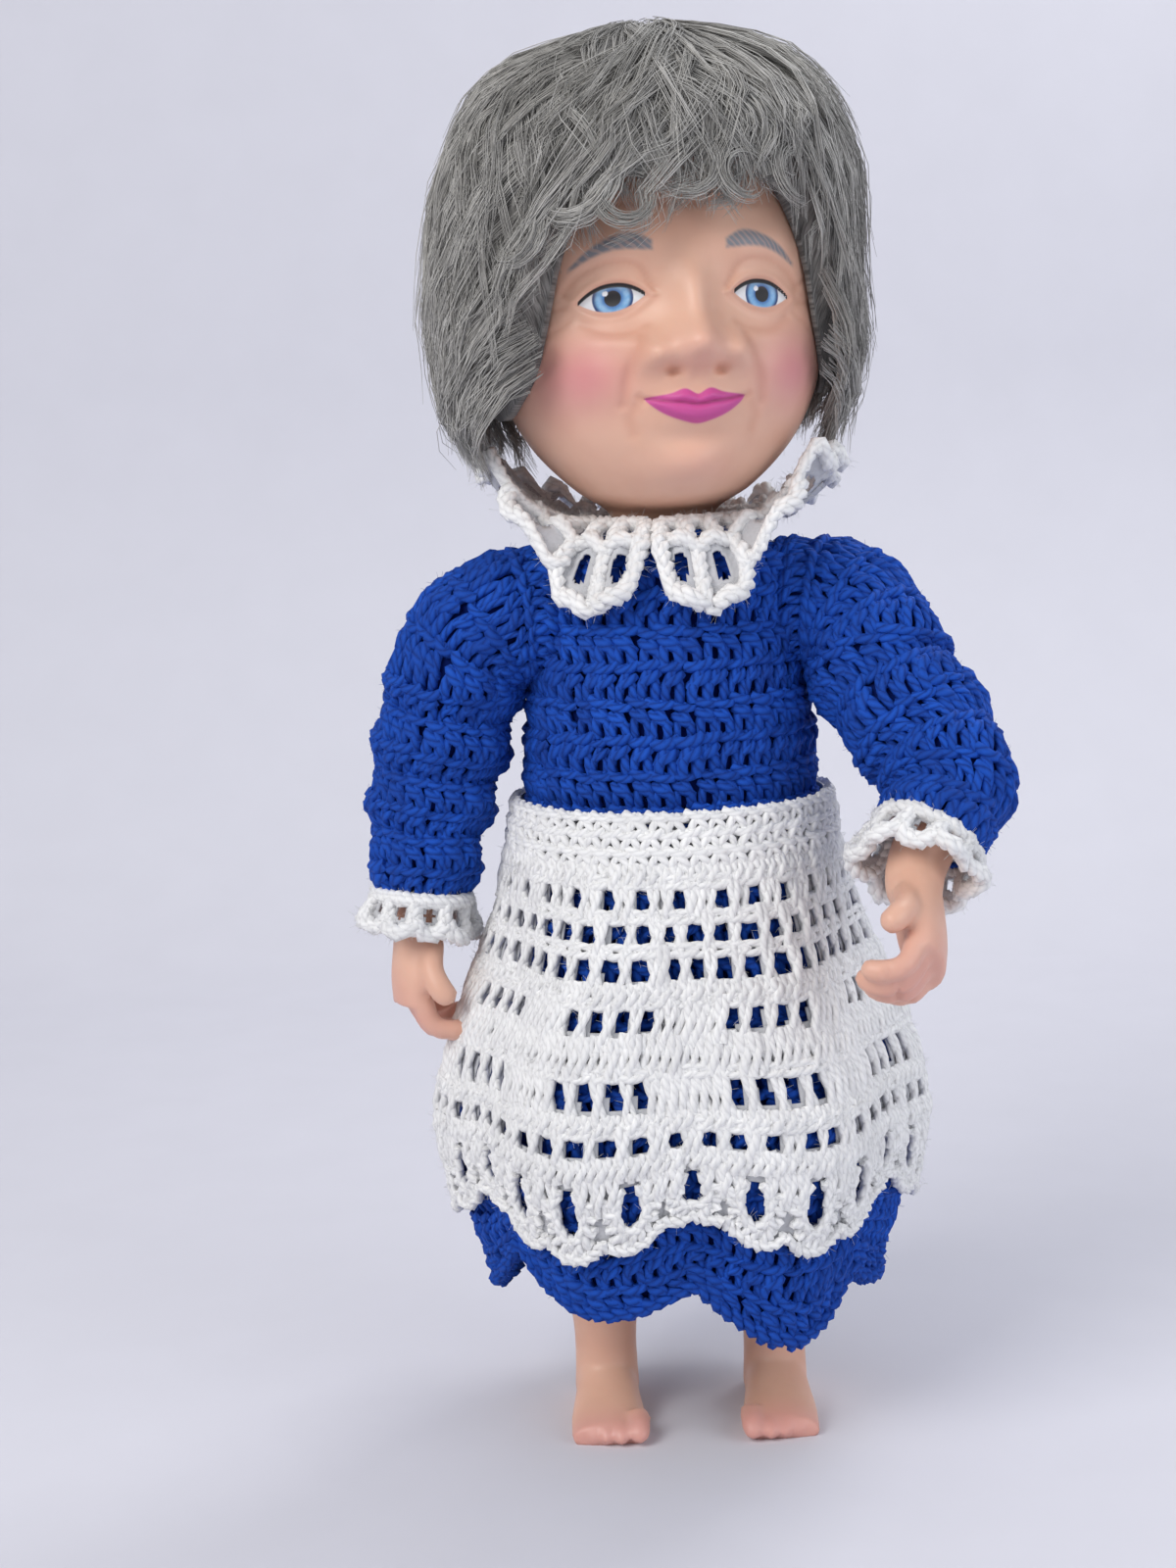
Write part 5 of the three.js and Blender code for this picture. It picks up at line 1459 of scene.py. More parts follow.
@dataclass
class Arm:
    """Vinyl arm with its hand, and the sleeve and cuff on it."""

    form: ArmForm
    wardrobe: Wardrobe
    name: str
    sleeve_yarn: float = 1.45
    cuff_yarn: float = 1.4
    stitch_width: float = 5.4
    row_height: float = 9.0
    cuff_loops: int = 10
    loop_foot: float = 6.0
    loop_rise: float = 3.8
    palm_length: float = 22.5
    palm_thick: Numbers = (7.0, 6.8, 6.5, 6.0, 4.6)
    palm_wide: Numbers = (7.4, 8.0, 10.2, 11.3, 10.3)
    finger_lengths: Numbers = (0.94, 1.05, 1.0, 0.82)
    finger_bends: Numbers = (0.85, 1.0, 1.1, 1.2)
    knuckles: Numbers = (34, 58, 44)
    bones: Numbers = (9.2, 6.6, 5.6)
    finger_radius: float = 3.15
    thumb_knuckles: Numbers = (0, 22, 24)
    thumb_bones: Numbers = (8.8, 6.8, 6.0)
    thumb_radius: float = 3.7

    def __post_init__(self) -> None:
        """Names the arm's body and its skin."""
        self.body = f"{self.name}_arm"
        self.skin = f"{self.name}_arm_vinyl"

    def finger(
        self, mesh: Mesh, base: Array, bends: Numbers, lengths: Numbers,
        radius: float, heading: Array, inward: Array,
    ) -> None:
        """Adds a bent finger.

        Args:
            mesh: Where it goes.
            base: Its root in the arm's own frame.
            bends: Turn at each knuckle towards the palm, in degrees.
            lengths: Length of each bone in millimetres.
            radius: Radius at the root.
            heading: Direction at the root.
            inward: Direction towards the palm.
        """
        spots, angle = [base], 0.0
        heading, inward = unit(heading), unit(inward)
        for bend, length in zip(bends, lengths):
            angle += radians(bend)
            spots.append(spots[-1] + length * (cos(angle) * heading + sin(angle) * inward))
        path = through(np.array(spots), 16)
        tangent = unit(np.gradient(path, axis=0))
        share = np.linspace(0, 1, 16)
        size = radius * (1 - 0.16 * share) * (1 + 0.05 * np.cos(share * TAU * 1.5))
        size *= np.sqrt(np.clip(1 - np.clip((share - 0.86) / 0.14, 0, 0.97) ** 2, 0, 1))
        side = unit(np.cross(tangent, np.broadcast_to(inward, tangent.shape)))
        rings = rings_round(path, size, side, np.cross(side, tangent))
        mesh.tube(self.form.place(rings)[:, ::-1])

    def vinyl(self) -> Piece:
        """The arm and hand as one moulding."""
        form, mesh = self.form, Mesh()
        a, s = np.meshgrid(circle(36), np.linspace(0.6, form.wrist, 40))
        mesh.tube(form.around(a, s, form.radius(s)))
        end = form.wrist + self.palm_length
        stops = (form.wrist - 4, form.wrist, form.wrist + 9, form.wrist + 16, end)
        thick, wide = Profile(stops, self.palm_thick), Profile(stops, self.palm_wide)
        a, s = np.meshgrid(circle(36), np.linspace(form.wrist - 4, end, 14))
        mesh.tube(form.around(a, s, thick(s), wide(s)))
        tangent, _, ahead = (v[0] for v in form.frame(np.array([end])))
        tip = form.local(np.array([end]))[0]
        inward = np.array([-1.0, 0, 0]) - tangent * float(np.dot([-1.0, 0, 0], tangent))
        for i, (length, bend) in enumerate(zip(self.finger_lengths, self.finger_bends)):
            spot = tip + ahead * (7.7 - 5.15 * i) - tangent * (2.6 + 0.8 * abs(i - 1.3)) + unit(inward) * 0.6
            spread = unit(tangent + ahead * (0.06 - 0.045 * i))
            bends, lengths = np.array(self.knuckles) * bend, np.array(self.bones) * length
            self.finger(mesh, spot, bends, lengths, self.finger_radius, spread, inward)
        root = form.local(np.array([form.wrist + 5.0]))[0] + ahead * 5.4 + unit(inward) * 2.4
        heading, inward = unit(tangent * 0.78 + ahead * 0.62), inward - ahead * 0.5
        self.finger(
            mesh, root, self.thumb_knuckles, self.thumb_bones, self.thumb_radius, heading, inward
        )
        piece = mesh.object(self.skin, self.wardrobe.vinyl)
        moulded(piece, 0.92, 3)
        points = points_of(piece)
        far = np.linalg.norm(points - form.place(tip + tangent * 8), axis=1)
        values_on(piece, blush=0.34 * np.exp(-((far / 15) ** 2)), crease=np.zeros(len(points)))
        return settle(piece, self.body, "vinyl", self.body)

    def sleeve(self) -> None:
        """Rounds of double crochet down the arm, and their ground."""
        form = self.form
        cloth = Crochet(form.cloth, 61 + form.side, self.body, self.skin, self.wardrobe.blue)
        first, last = form.root - 8.0, form.bend_end + form.run
        rows = int(round((last - first) / self.row_height))
        for row in range(rows):
            low, high = last - row * (last - first) / rows, last - (row + 1) * (last - first) / rows
            count = int(round(TAU * float(form.sleeve((low + high) / 2)) / self.stitch_width))
            across = (np.arange(count) + 0.5 * (row % 2)) * TAU / count
            cloth.to_and_fro(row, across, TAU / count, low, high)
        cloth.strands(f"{self.name}_sleeve_stitches", self.sleeve_yarn, 5, f"{self.name}_sleeve")
        cloth.fluff(f"{self.name}_sleeve_fluff", 2400, 3.2)
        cloth.ground(f"{self.name}_sleeve_ground", (0, TAU, 49), (first, last - 0.5, 36), -2.4, "stretched")

    def cuff(self) -> None:
        """Ruffle of thick loops round small holes, and its ground."""
        form = self.form
        cloth = Crochet(form.ruffle, 71 + form.side, self.body, self.skin, self.wardrobe.white)
        start, pitch = form.bend_end + form.run, TAU / self.cuff_loops
        cloth.rope(stacked(np.linspace(0, TAU, 40), start + 0.8), 1.2, 7.0, 3, 0.2)
        bow = np.radians(np.linspace(-90, 90, 9))
        for k in range(self.cuff_loops):
            cloth.rope(stacked(k * pitch, np.linspace(start + 0.4, start + 6.4, 4)), 1.2, 8.0, 3)
            rise = start + self.loop_foot + self.loop_rise * np.cos(bow)
            cloth.rope(stacked((k + 0.5 + 0.5 * np.sin(bow)) * pitch, rise), 1.45, 8.0, 3, 0.3)
        cloth.strands(f"{self.name}_cuff_lace", self.cuff_yarn, 6, f"{self.name}_cuff")
        cloth.fluff(f"{self.name}_cuff_fluff", 1800, 3.8)

        def keep(across: Array, along: Array) -> Array:
            """Cloth within the looped edge and outside the holes."""
            beside = (across / pitch) % 1 - 0.5
            hole = np.hypot(beside * 8.6 / 1.6, (along - start - 4.6) / 1.8) > 1
            return hole & (along < start + self.loop_foot + self.loop_rise * np.cos(pi * beside))

        rows = (start, start + 9.6, 14)
        cloth.ground(f"{self.name}_cuff_ground", (0, TAU, 85), rows, -0.7, "gathered", keep)

    def build(self) -> None:
        """Makes arm, sleeve and cuff."""
        self.vinyl()
        self.sleeve()
        self.cuff()


@dataclass
class Leg:
    """Vinyl leg with a flat bare foot and five toes."""

    wardrobe: Wardrobe
    side: int
    name: str
    centre: float = 24.0
    heel_back: float = 17.0
    toe_forward: float = 32.0
    hip_radius: float = 19.2
    hip_middle: float = 24.9
    hip_half: float = 10.8
    girth: Profile = Profile((6, 14, 24, 40, 52, 70, 102, 122), (9.2, 8.8, 8.9, 11.2, 12.4, 12.0, 15.0, 14.0))
    foot_width: Profile = Profile((-17, -12, -4, 6, 16, 27.5), (3.0, 7.6, 8.7, 9.0, 10.3, 10.2))
    instep: Profile = Profile((-17, -12, -4, 4, 14, 27.5), (9, 15.0, 18.5, 18.0, 11.0, 5.6))
    toe_sizes: Numbers = (3.5, 2.75, 2.6, 2.45, 2.3)
    toe_reaches: Numbers = (32.0, 31.6, 30.6, 29.2, 27.4)
    toe_places: Numbers = (0, 5.0, 9.0, 12.7, 15.8)

    def build(self) -> Piece:
        """The leg, foot and toes as one moulding."""
        mesh, middle = Mesh(), self.side * self.centre
        z = np.linspace(self.girth.places[0], self.girth.places[-1], 40)[:, None]
        radius, turn = self.girth(z), circle(36)
        mesh.tube(stacked(middle + radius * np.cos(turn), radius * np.sin(turn), z))
        cap = np.linspace(-1, 1, 16)[:, None]
        size = self.hip_radius * np.where(cap > 0.2, np.sqrt(np.clip(1 - (cap - 0.2) ** 2, 0.3, 1)), 1.0)
        turn = circle(30)
        out = self.side * (self.hip_middle + self.hip_half * cap)
        hip = stacked(out, size * np.cos(turn), HIP_Z + size * np.sin(turn))
        mesh.tube(hip if self.side > 0 else hip[:, ::-1])
        ahead = np.linspace(-self.heel_back, self.toe_forward - 4.5, 26)[:, None]
        width, top, turn = self.foot_width(ahead), self.instep(ahead), circle(32)
        up = np.clip((np.sin(turn) + 0.42) / 1.42, -0.25, 1)
        mesh.tube(stacked(middle + width * np.cos(turn), -ahead, top * up))
        for size, reach, place in zip(self.toe_sizes, self.toe_reaches, self.toe_places):
            x = self.side * (self.centre - 8.0 + place - 0.4)
            course = ((-22.0, 1.5), (-reach + size * 1.8, 1.35), (-reach + 0.2, 0.8))
            self.toe(mesh, np.array([(x, y, size * rise) for y, rise in course]), size)
        piece = mesh.object(f"{self.name}_leg_vinyl", self.wardrobe.vinyl)
        moulded(piece, 1.0, 3)
        points = points_of(piece)
        flat = points.copy()
        flat[:, 2] = np.where(points[:, 2] < 0.35, 0.0, points[:, 2])
        piece.data.vertices.foreach_set("co", metres(flat).astype(np.float32).ravel())
        piece.data.update()
        toes = smooth(-points[:, 1], 17, 30) * (points[:, 2] < 14)
        # painted shade in a ring round the ankle
        ankle_shade = hill(points[:, 2], 20, 5) * 0.2
        values_on(piece, blush=0.4 * toes, crease=ankle_shade)
        return settle(piece, f"{self.name}_leg", "vinyl", f"{self.name}_leg")

    def toe(self, mesh: Mesh, path: Array, size: float) -> None:
        """Adds one rounded toe along a short path."""
        share = np.linspace(0, 1, 12)
        radius = size * np.sqrt(np.clip(1 - np.clip((share - 0.6) / 0.4, 0, 0.98) ** 2, 0, 1))
        radius = radius * (1 - 0.12 * np.sin(share * pi))
        side, up = np.array([[1.0, 0, 0]]), np.array([[0, 0, 1.0]])
        mesh.tube(rings_round(through(path, 12), radius, side, up))


@dataclass
class HeadForm:
    """Outline of the head above the neck joint, and the relief of the face.

    A mound or blush has its place across and up, its width and height on the face, and how far it stands out
    or how strong it is. A fold has its width, its depth and the points of its line.
    """

    turn: float = 10.0
    centre: float = 70.0
    height: float = 55.0
    width: float = 44.0
    face: float = 44.0
    back: float = 47.0
    neck: float = 14.6
    eye_apart: float = 19.3
    eye_up: float = 69.0
    mouth_up: float = 43.0
    brow_half: float = 9.8
    brow_line: Profile = Profile((-9.8, -5, 0.8, 6, 9.8), (13.0, 14.2, 13.4, 10.8, 7.6))
    brow_width: Profile = Profile((-9.8, -6, 0.8, 6, 9.8), (1.2, 2.0, 1.6, 1.1, 0.4))
    blushes: Sequence[Numbers] = ((27.5, 50, 10, 9, 0.7), (0, 55.5, 8.5, 5, 0.16), (0, 27, 9, 6, 0.12))
    mounds: Sequence[Numbers] = (
        (0, 57, 8.8, 6.6, 11.2), (0, 68, 5, 10, 5.5), (11.2, 55.3, 4.4, 4.4, 5.6), (24, 51, 12, 10, 4),
        (19.3, 69, 10.0, 7.5, -3.0), (19.3, 82, 12, 4.5, 1.6), (0, 43, 13, 8, 3), (0, 34, 9, 3.2, -1.8),
        (0, 26, 11, 7, 4), (6.0, 51.0, 2.3, 1.4, -2.6), (0, 50.2, 2.2, 3.0, -0.8), (20, 58.5, 9, 2.4, 0.9),
    )
    # painted shade in the nostrils
    nostril: Numbers = (6.0, 51.0, 2.0, 1.1, 0.9)
    # each fold's depth also sets the painted shade in it
    folds: Sequence[tuple] = (
        (1.5, 1.35, (13.4, 59.5), (15.6, 54.5), (17.2, 48.5), (17.8, 43.0)),
        (1.5, 0.8, (15.0, 42.5), (16.2, 39.5), (15.2, 35.5)),
        (1.2, 0.75, (11.5, 62.5), (16.0, 60.6), (22.0, 60.8), (26.5, 63.2)),
        (0.95, 0.9, (9.6, 71.5), (13.5, 77.2), (20.5, 78.0), (27.0, 75.0), (30.0, 71.0)),
        (0.75, 0.55, (30.0, 70.6), (33.0, 72.6), (35.5, 73.4)),
        (0.75, 0.55, (30.0, 67.4), (33.4, 67.0), (36.0, 66.2)),
        (0.75, 0.5, (29.0, 64.6), (32.0, 62.2), (34.4, 60.4)),
        (1.0, 0.4, (0.5, 92.0), (10, 93.0), (19, 92.0)),
        (1.1, 1.0, (13.0, 43.6), (14.2, 44.6)),
    )

    def __post_init__(self) -> None:
        """Lays out the stations of the lower head."""
        up, neck = (2, 14, 20, 31, 43, 51, self.centre), self.neck
        self.lower_width = Profile(up, (neck, neck, 23, 34, 40.8, 43, self.width))
        self.lower_front = Profile(up, (neck, neck, 31, 41.5, 44, 44, self.face))
        shares = (0, 0, 0.25, 0.62, 0.84, 0.93, 1)
        self.lower_back = Profile(up, [neck + (self.back - neck) * s for s in shares])

    def sizes(self, up: Array) -> tuple[Array, Array, Array]:
        """Half width, front and back of the head at a height."""
        dome = np.sqrt(np.clip(1 - ((up - self.centre) / self.height) ** 2, 0, 1))
        high = up > self.centre
        sizes = (self.width, self.face, self.back)
        lower = (self.lower_width, self.lower_front, self.lower_back)
        low = np.minimum(up, self.centre)
        return tuple(np.where(high, size * dome, below(low)) for size, below in zip(sizes, lower))

    def place(self, points: Array) -> Array:
        """Moves points from the head's own frame to the body's."""
        return points @ rotation(self.turn).T + np.array([0, 0, NECK_Z])

    def eye(self, x: Array, up: Array) -> tuple[Array, Array, Array]:
        """The eye's outline as a distance, negative inside, and the places across and up from its middle."""
        e, h = np.abs(x) - self.eye_apart, up - self.eye_up + 0.05 * (np.abs(x) - self.eye_apart)
        top = self.lid(e)
        low = -3.0 * np.clip(1 - np.abs((e - 0.5) / 7.9) ** 2.0, -2, 1)
        return np.maximum(h - top, low - h) * 0.85, e, h

    def lid(self, e: Array) -> Array:
        """Height of the upper lid over the middle of the eye."""
        return 3.5 * np.clip(1 - np.abs((e + 0.5) / 8.1) ** 2.2, -2, 1)

    def lips(self, x: Array, up: Array) -> tuple[Array, Array]:
        """The lips' outline as a distance, negative inside, and the distance from the line between them."""
        a = np.abs(x)
        line = self.mouth_up + 1.3 * (a / 12.8) ** 2 - 0.5 * hill(a, 0, 3)
        taper = np.clip(1 - (a / 13.2) ** 2, -1, 1)
        top = line + 2.9 * np.clip(1 - (a / 13.0) ** 1.6, -1, 1)
        top = top + 0.9 * hill(a, 3.4, 2.2) - 0.5 * hill(a, 0, 1.5)
        low = line - 4.9 * np.sign(taper) * np.abs(taper) ** 0.8
        return np.maximum(up - top, low - up), np.abs(up - line)

    def brow(self, x: Array, up: Array) -> Array:
        """Distance from the brow's painted strokes, negative inside."""
        e, h = np.abs(x) - self.eye_apart, up - self.eye_up
        beyond = np.maximum(-self.brow_half - e, e - self.brow_half)
        return np.maximum(np.abs(h - self.brow_line(e)) - self.brow_width(e), beyond)

    def spots(self, x: Array, up: Array, rows: Sequence[Numbers]) -> Array:
        """Sum of round spots on both sides of the face.

        Args:
            x: Places across, from the middle of the face.
            up: Places up, from the neck joint.
            rows: Mounds or blushes.
        Returns:
            Heights in millimetres, or strengths.
        """
        a = np.abs(x)
        return sum(
            out * np.exp(-(((a - across) / wide) ** 2) - ((up - at) / tall) ** 2)
            for across, at, wide, tall, out in rows
        )

    def relief(self, x: Array, up: Array) -> tuple[Array, Array]:
        """How far the face stands out at a place, and how deep it is creased there, which sets the painted
        shade.

        Args:
            x: Places across, from the middle of the face.
            up: Places up, from the neck joint.
        Returns:
            Heights in millimetres, and shares of painted crease shade from 0 to 1.
        """
        a, out = np.abs(x), self.spots(x, up, self.mounds)
        edge, e, h = self.eye(x, up)
        ball = smooth(-edge, -0.5, 0.7)
        out = out + ball * (1.5 * np.sqrt(np.clip(1 - (e / 11) ** 2 - (h / 7.5) ** 2, 0, 1)) - 0.5)
        out = out + 0.9 * hill(edge, 1.3, 1.1) * np.where(h > 0, 1.25, 0.8) * (1 - ball)
        lip, line = self.lips(x, up)
        full = smooth(-lip, -0.4, 1.9)
        out = out + 1.5 * full - 1.2 * np.exp(-((line / 0.7) ** 2)) * smooth(-lip, -0.6, 0.6)
        out = out + self.spots(x, up, [(0, self.mouth_up - 2.6, 6.5, 2.0, 0.5)])
        # painted shade that darkens the folds and the nostrils
        crease = np.zeros_like(out)
        for wide, depth, *path in self.folds:
            points = through(np.array(path), 24)
            far = np.min(np.hypot(a[..., None] - points[:, 0], up[..., None] - points[:, 1]), axis=-1)
            share = np.exp(-((far / wide) ** 2))
            out = out - 0.62 * depth * share
            crease = np.maximum(crease, 0.5 * share * min(1.0, depth))
        return out, np.maximum(crease, self.spots(x, up, [self.nostril]))


@dataclass
class Head:
    """Moulded vinyl head with its painted face."""

    form: HeadForm
    wardrobe: Wardrobe
    columns: int = 230
    rows: int = 200

    def build(self) -> Piece:
        """The head, densest at the face."""
        form = self.form
        t = np.arange(self.columns) / self.columns
        angle = TAU * t - 0.62 * np.sin(TAU * t)
        low = np.linspace(3, 14, 6)[:-1]
        face = np.linspace(14, 96, self.rows - 30)
        start = asin((96 - form.centre) / form.height)
        top = form.centre + form.height * np.sin(np.linspace(start, pi / 2 - 0.02, 26)[1:])
        up = np.concatenate([low, face, top])
        a, z = np.meshgrid(angle, up)
        width, front, back = form.sizes(z)
        x = width * np.sin(a)
        ahead = np.cos(a)
        y = -np.where(ahead > 0, front, back) * ahead
        relief, crease = form.relief(x, z)
        share = np.clip(ahead * 1.4, 0, 1)
        y = y - relief * share
        mesh = Mesh().tube(form.place(stacked(x, y, z)))
        piece = mesh.object("head_vinyl", self.wardrobe.face)
        shown = ahead > 0.05

        def kept(values: Array, away: float = 0.0) -> Array:
            """Values on the face, and a plain one elsewhere."""
            flat = np.where(shown, values, away).ravel()
            return np.concatenate([flat, [away, away]])

        edge, e, h = form.eye(x, z)
        lip, line = form.lips(x, z)
        top_edge = np.abs(h - form.lid(e)) + np.where(np.abs(e) > 8.0, 9, 0)
        side = np.sign(x)
        iris = np.hypot(e - 0.25 * side, h - 0.25)
        glint = np.hypot(side * e + 1.5, h - 1.6)
        blush = form.spots(x, z, form.blushes)
        values_on(
            piece, eye_edge=kept(edge, 9), iris=kept(iris, 9), lip_edge=kept(lip, 9), lip_line=kept(line, 9),
            brow_edge=kept(form.brow(x, z), 9), lash=kept(top_edge, 9), glint=kept(glint, 9),
            lid_edge=kept(edge - 1.2, 9), blush=kept(blush), crease=kept(crease),
        )
        return settle(piece, "head", "vinyl", "head")


@dataclass
class Wig:
    """Short grey wig: a base of close hair and wefts of fine loose locks over it.

    A ring curl has the angle and arc of its middle, its radius in millimetres, its start and its turn.
    """

    form: HeadForm
    wardrobe: Wardrobe
    parting: float = 20.0
    strands: int = 16
    flyaways: int = 3
    strand_radius: float = 0.13
    ends: Profile = Profile((0, 22, 40, 54, 70, 110, 150, 180), (67, 66, 72, 112, 130, 131, 130, 130))
    ring_curls: Sequence[Numbers] = (
        (-34, 66, 10.5, -150, 330), (-34, 66, 9.0, -110, 330), (-18, 70, 6.5, -60, -300),
        (-2, 64, 7.0, -170, 280), (14, 66, 6.0, 0, -300), (-50, 76, 7.5, -120, 300),
        (32, 66, 6.5, 20, -280),
    )

    def at(self, across: Array, down: Array, out: Array) -> Array:
        """Points on and over the skull.

        Args:
            across: Angles from the front.
            down: Arcs from the crown in degrees.
            out: Heights off the skull.
        Returns:
            Places in the head's own frame.
        """
        form = self.form
        d = np.radians(np.clip(down, 0, 90))
        drop = np.radians(np.clip(down - 90, 0, None)) * 50
        depth = form.back + (form.face - form.back) * smooth(np.cos(across), -0.4, 0.4)
        tuck = 1 - 0.0035 * np.clip(drop - 12, 0, None)
        return stacked(
            (form.width + out) * np.sin(across) * np.sin(d) * tuck,
            -(depth + out) * np.cos(across) * np.sin(d) * tuck,
            form.centre + (form.height + out) * np.cos(d) - drop,
        )

    def edge(self, across: Array) -> Array:
        """Arc from the crown to the ends of the hair at an angle from the front."""
        a = np.degrees((across + pi) % TAU - pi)
        return self.ends(np.abs(a)) + 5 * smooth(-a, 2, 26)

    def body(self, across: Array, down: Array) -> Array:
        """Thickness of the hair."""
        ahead, behind = np.clip(np.cos(across), 0, 1), np.clip(-np.cos(across), 0, 1)
        right, left = np.clip(-np.sin(across), 0, 1), np.clip(np.sin(across), 0, 1)
        low = 2.6 + 9 * ahead ** 2 + 14 * right ** 2 + 8 * left ** 2 + 14 * behind ** 2
        crown = 17.4 + 4.2 * smooth(down, 5, 46)
        return crown + (low - crown) * smooth(down, 44, 84)

    def base(self) -> None:
        """Close hair that fills the wig under the locks, in darker greys that paint the shade there."""
        a, t = np.meshgrid(circle(160) - pi, np.linspace(0.02, 1, 44))
        down = t * (self.edge(a) - 5 - 9 * smooth(np.abs(a), 0.7, 1.2) - 11 * smooth(np.abs(a), 0.75, 0.4))
        ripple = 0.7 * np.sin(a * 46 + 3 * np.sin(t * 9)) * smooth(down, 5, 40)
        fade = 1 - smooth(t, 0.8, 1.0) * 0.75
        outer = self.at(a, down, (self.body(a, down) * 0.8 + ripple) * fade)
        inner = self.at(a, down, 0.8 + 0 * a)
        mesh = Mesh().tube(self.form.place(np.concatenate([inner, outer[::-1]])))
        piece = mesh.object("wig_base", self.wardrobe.hair_base)
        grain, run = (np.concatenate([v.ravel(), v[::-1].ravel(), [0, 0]]) for v in (a * 26, down * 0.03))
        values_on(piece, tone=np.full(len(grain), 0.45), tip=np.full(len(grain), 0.6), grain=grain, run=run)
        settle(piece, "head", "hair", "wig_cap")

    def roots(
        self, random: np.random.Generator, count: int, across: Span, down: Span
    ) -> tuple[Array, Array]:
        """Places of the locks' roots, evenly spread over a part of the skull.

        Args:
            random: Source of the spread.
            count: Number of locks.
            across: Least and greatest angle from the front, in degrees.
            down: Least and greatest arc from the crown, in degrees.
        Returns:
            Angles in radians and arcs in degrees.
        """
        share = (np.arange(count) + random.uniform(0, 1, count)) / count
        low, high = cos(radians(down[0])), cos(radians(down[1]))
        arc = np.degrees(np.arccos(low + (high - low) * share))
        turn = (np.arange(count) * 0.61803 + random.uniform(-0.1, 0.1, count)) % 1.0
        return np.radians(across[0] + (across[1] - across[0]) * turn), arc

    def loosen(
        self, skein: Skein, path: Array, outward: Array, wide: Span, taper: float, number: int
    ) -> None:
        """Splits each lock into loose strands.

        Args:
            skein: Where the strands go.
            path: Middle of each lock, by lock, place and coordinate, in the head's own frame.
            outward: Directions off the skull there.
            wide: Least and greatest radius of a lock in millimetres.
            taper: Share by which a lock draws together at its end.
            number: Strands in each lock.
        """
        rnd = skein.random
        count, steps = path.shape[:2]

        def each(low: float, high: float) -> Array:
            """A number for every strand."""
            return rnd.uniform(low, high, (count, number, 1))

        t = np.linspace(0, 1, steps)
        tangent = unit(np.gradient(path, axis=1))
        sidewards = unit(np.cross(tangent, outward))
        spread = rnd.uniform(*wide, (count, 1, 1)) * (1 - taper * t ** 1.3)
        place = np.sqrt(each(0, 1))
        phase = each(0, TAU) + 0.9 * t
        stray = np.where(each(0, 1) < 0.2, each(1.2, 2.6), 1.0)
        reach = spread * place * (1 + (stray - 1) * t)
        frizz = each(0.1, 0.9) * np.sin(each(0, TAU) + each(4, 11) * t)
        strands = (
            path[:, None] + (reach * np.cos(phase) + frizz)[..., None] * sidewards[:, None]
            + (reach * np.sin(phase) * 0.42 + frizz * 0.4)[..., None] * outward[:, None]
            + (rnd.normal(0, 1.8, (count, number, 1)) * t)[..., None] * tangent[:, None]
        )
        tone = np.clip(rnd.normal(0.5, 0.1, (count, 1)) + rnd.normal(0, 0.2, (count, number)), 0.02, 1)
        thick = np.broadcast_to(np.clip(1.1 - 0.75 * t ** 3, 0.3, 1), (count * number, steps))
        skein.add(self.form.place(strands.reshape(count * number, steps, 3)), thick, tone.ravel())

    def weft(
        self, name: str, seed: int, count: int, across: Span, down: Span, nodes: Sequence[str],
        curl: float, reach: float, curls: Sequence[Numbers] = (),
    ) -> None:
        """One weft of locks.

        Args:
            name: The piece's name.
            seed: Fixed seed.
            count: Number of locks.
            across: Angles of the roots in degrees.
            down: Arcs of the roots in degrees.
            nodes: Solids that it stands for.
            curl: Radius of the curls at the ends in millimetres.
            reach: Greatest length of a lock as an arc in degrees.
            curls: Ring curls among the locks.
        """
        skein = Skein(seed)
        rnd = skein.random

        def each(low: float, high: float) -> Array:
            """A number for every lock."""
            return rnd.uniform(low, high, (count, 1))

        a0, s0 = (v[:, None] for v in self.roots(rnd, count, across, down))
        t = np.linspace(0, 1, 7)
        part = radians(self.parting)
        front = np.clip(np.cos(a0) + 0.25, 0, 1) ** 1.2
        away = np.tanh((a0 - part) / 0.25)
        sweep = away * np.where(a0 < part, 0.8, 0.45) * front + rnd.normal(0, 0.15, (count, 1))
        limit = self.edge(a0 + sweep)
        goal = np.minimum(limit + rnd.normal(0, 4.0, (count, 1)), s0 + reach * each(0.75, 1.1))
        goal = np.maximum(goal, s0 + 12)
        wave = each(0, TAU)
        a = a0 + sweep * t ** 0.8
        a = a + each(0.01, 0.07) * np.sin(wave + t * each(4, 8)) * t
        s = s0 + (goal - s0) * t
        lift = np.clip(0.68 + 0.45 * np.sqrt(t), 0, 1) * each(0.82, 1.06)
        lift = lift + (0.92 - lift) * smooth(s, 40, 6)
        out = self.body(a, s) * lift * (1 - 0.3 * smooth(limit - s, 14, -4))
        path = self.at(a, s, out)
        outward = unit(self.at(a, s, out + 1) - path)
        tangent = unit(np.gradient(path, axis=1))
        sidewards = np.cross(tangent, outward)
        turn = rnd.choice([-1, 1], (count, 1)) * each(0.35, 1.0) * TAU * smooth(t, 0.45, 1.0)
        size = curl * each(0.4, 1.2) * smooth(t, 0.4, 0.95)
        inward = (size * (1 - np.cos(turn)))[..., None]
        path = path - inward * (0.3 * outward + 0.5 * tangent) + (size * np.sin(turn))[..., None] * sidewards
        wind = wave + t * each(4, 8)
        calm = 0.25 + 0.75 * smooth(s, 14, 52)
        swell = each(0.4, 1.9) * np.sqrt(t) * calm
        path = path + (0.8 * swell * np.cos(wind))[..., None] * outward
        path = path + (swell * np.sin(wind))[..., None] * sidewards
        self.loosen(skein, path, outward, (1.2, 3.6), 0.4, self.strands)
        drift = (each(-0.5, 3.2) * t ** 2 * calm)[..., None]
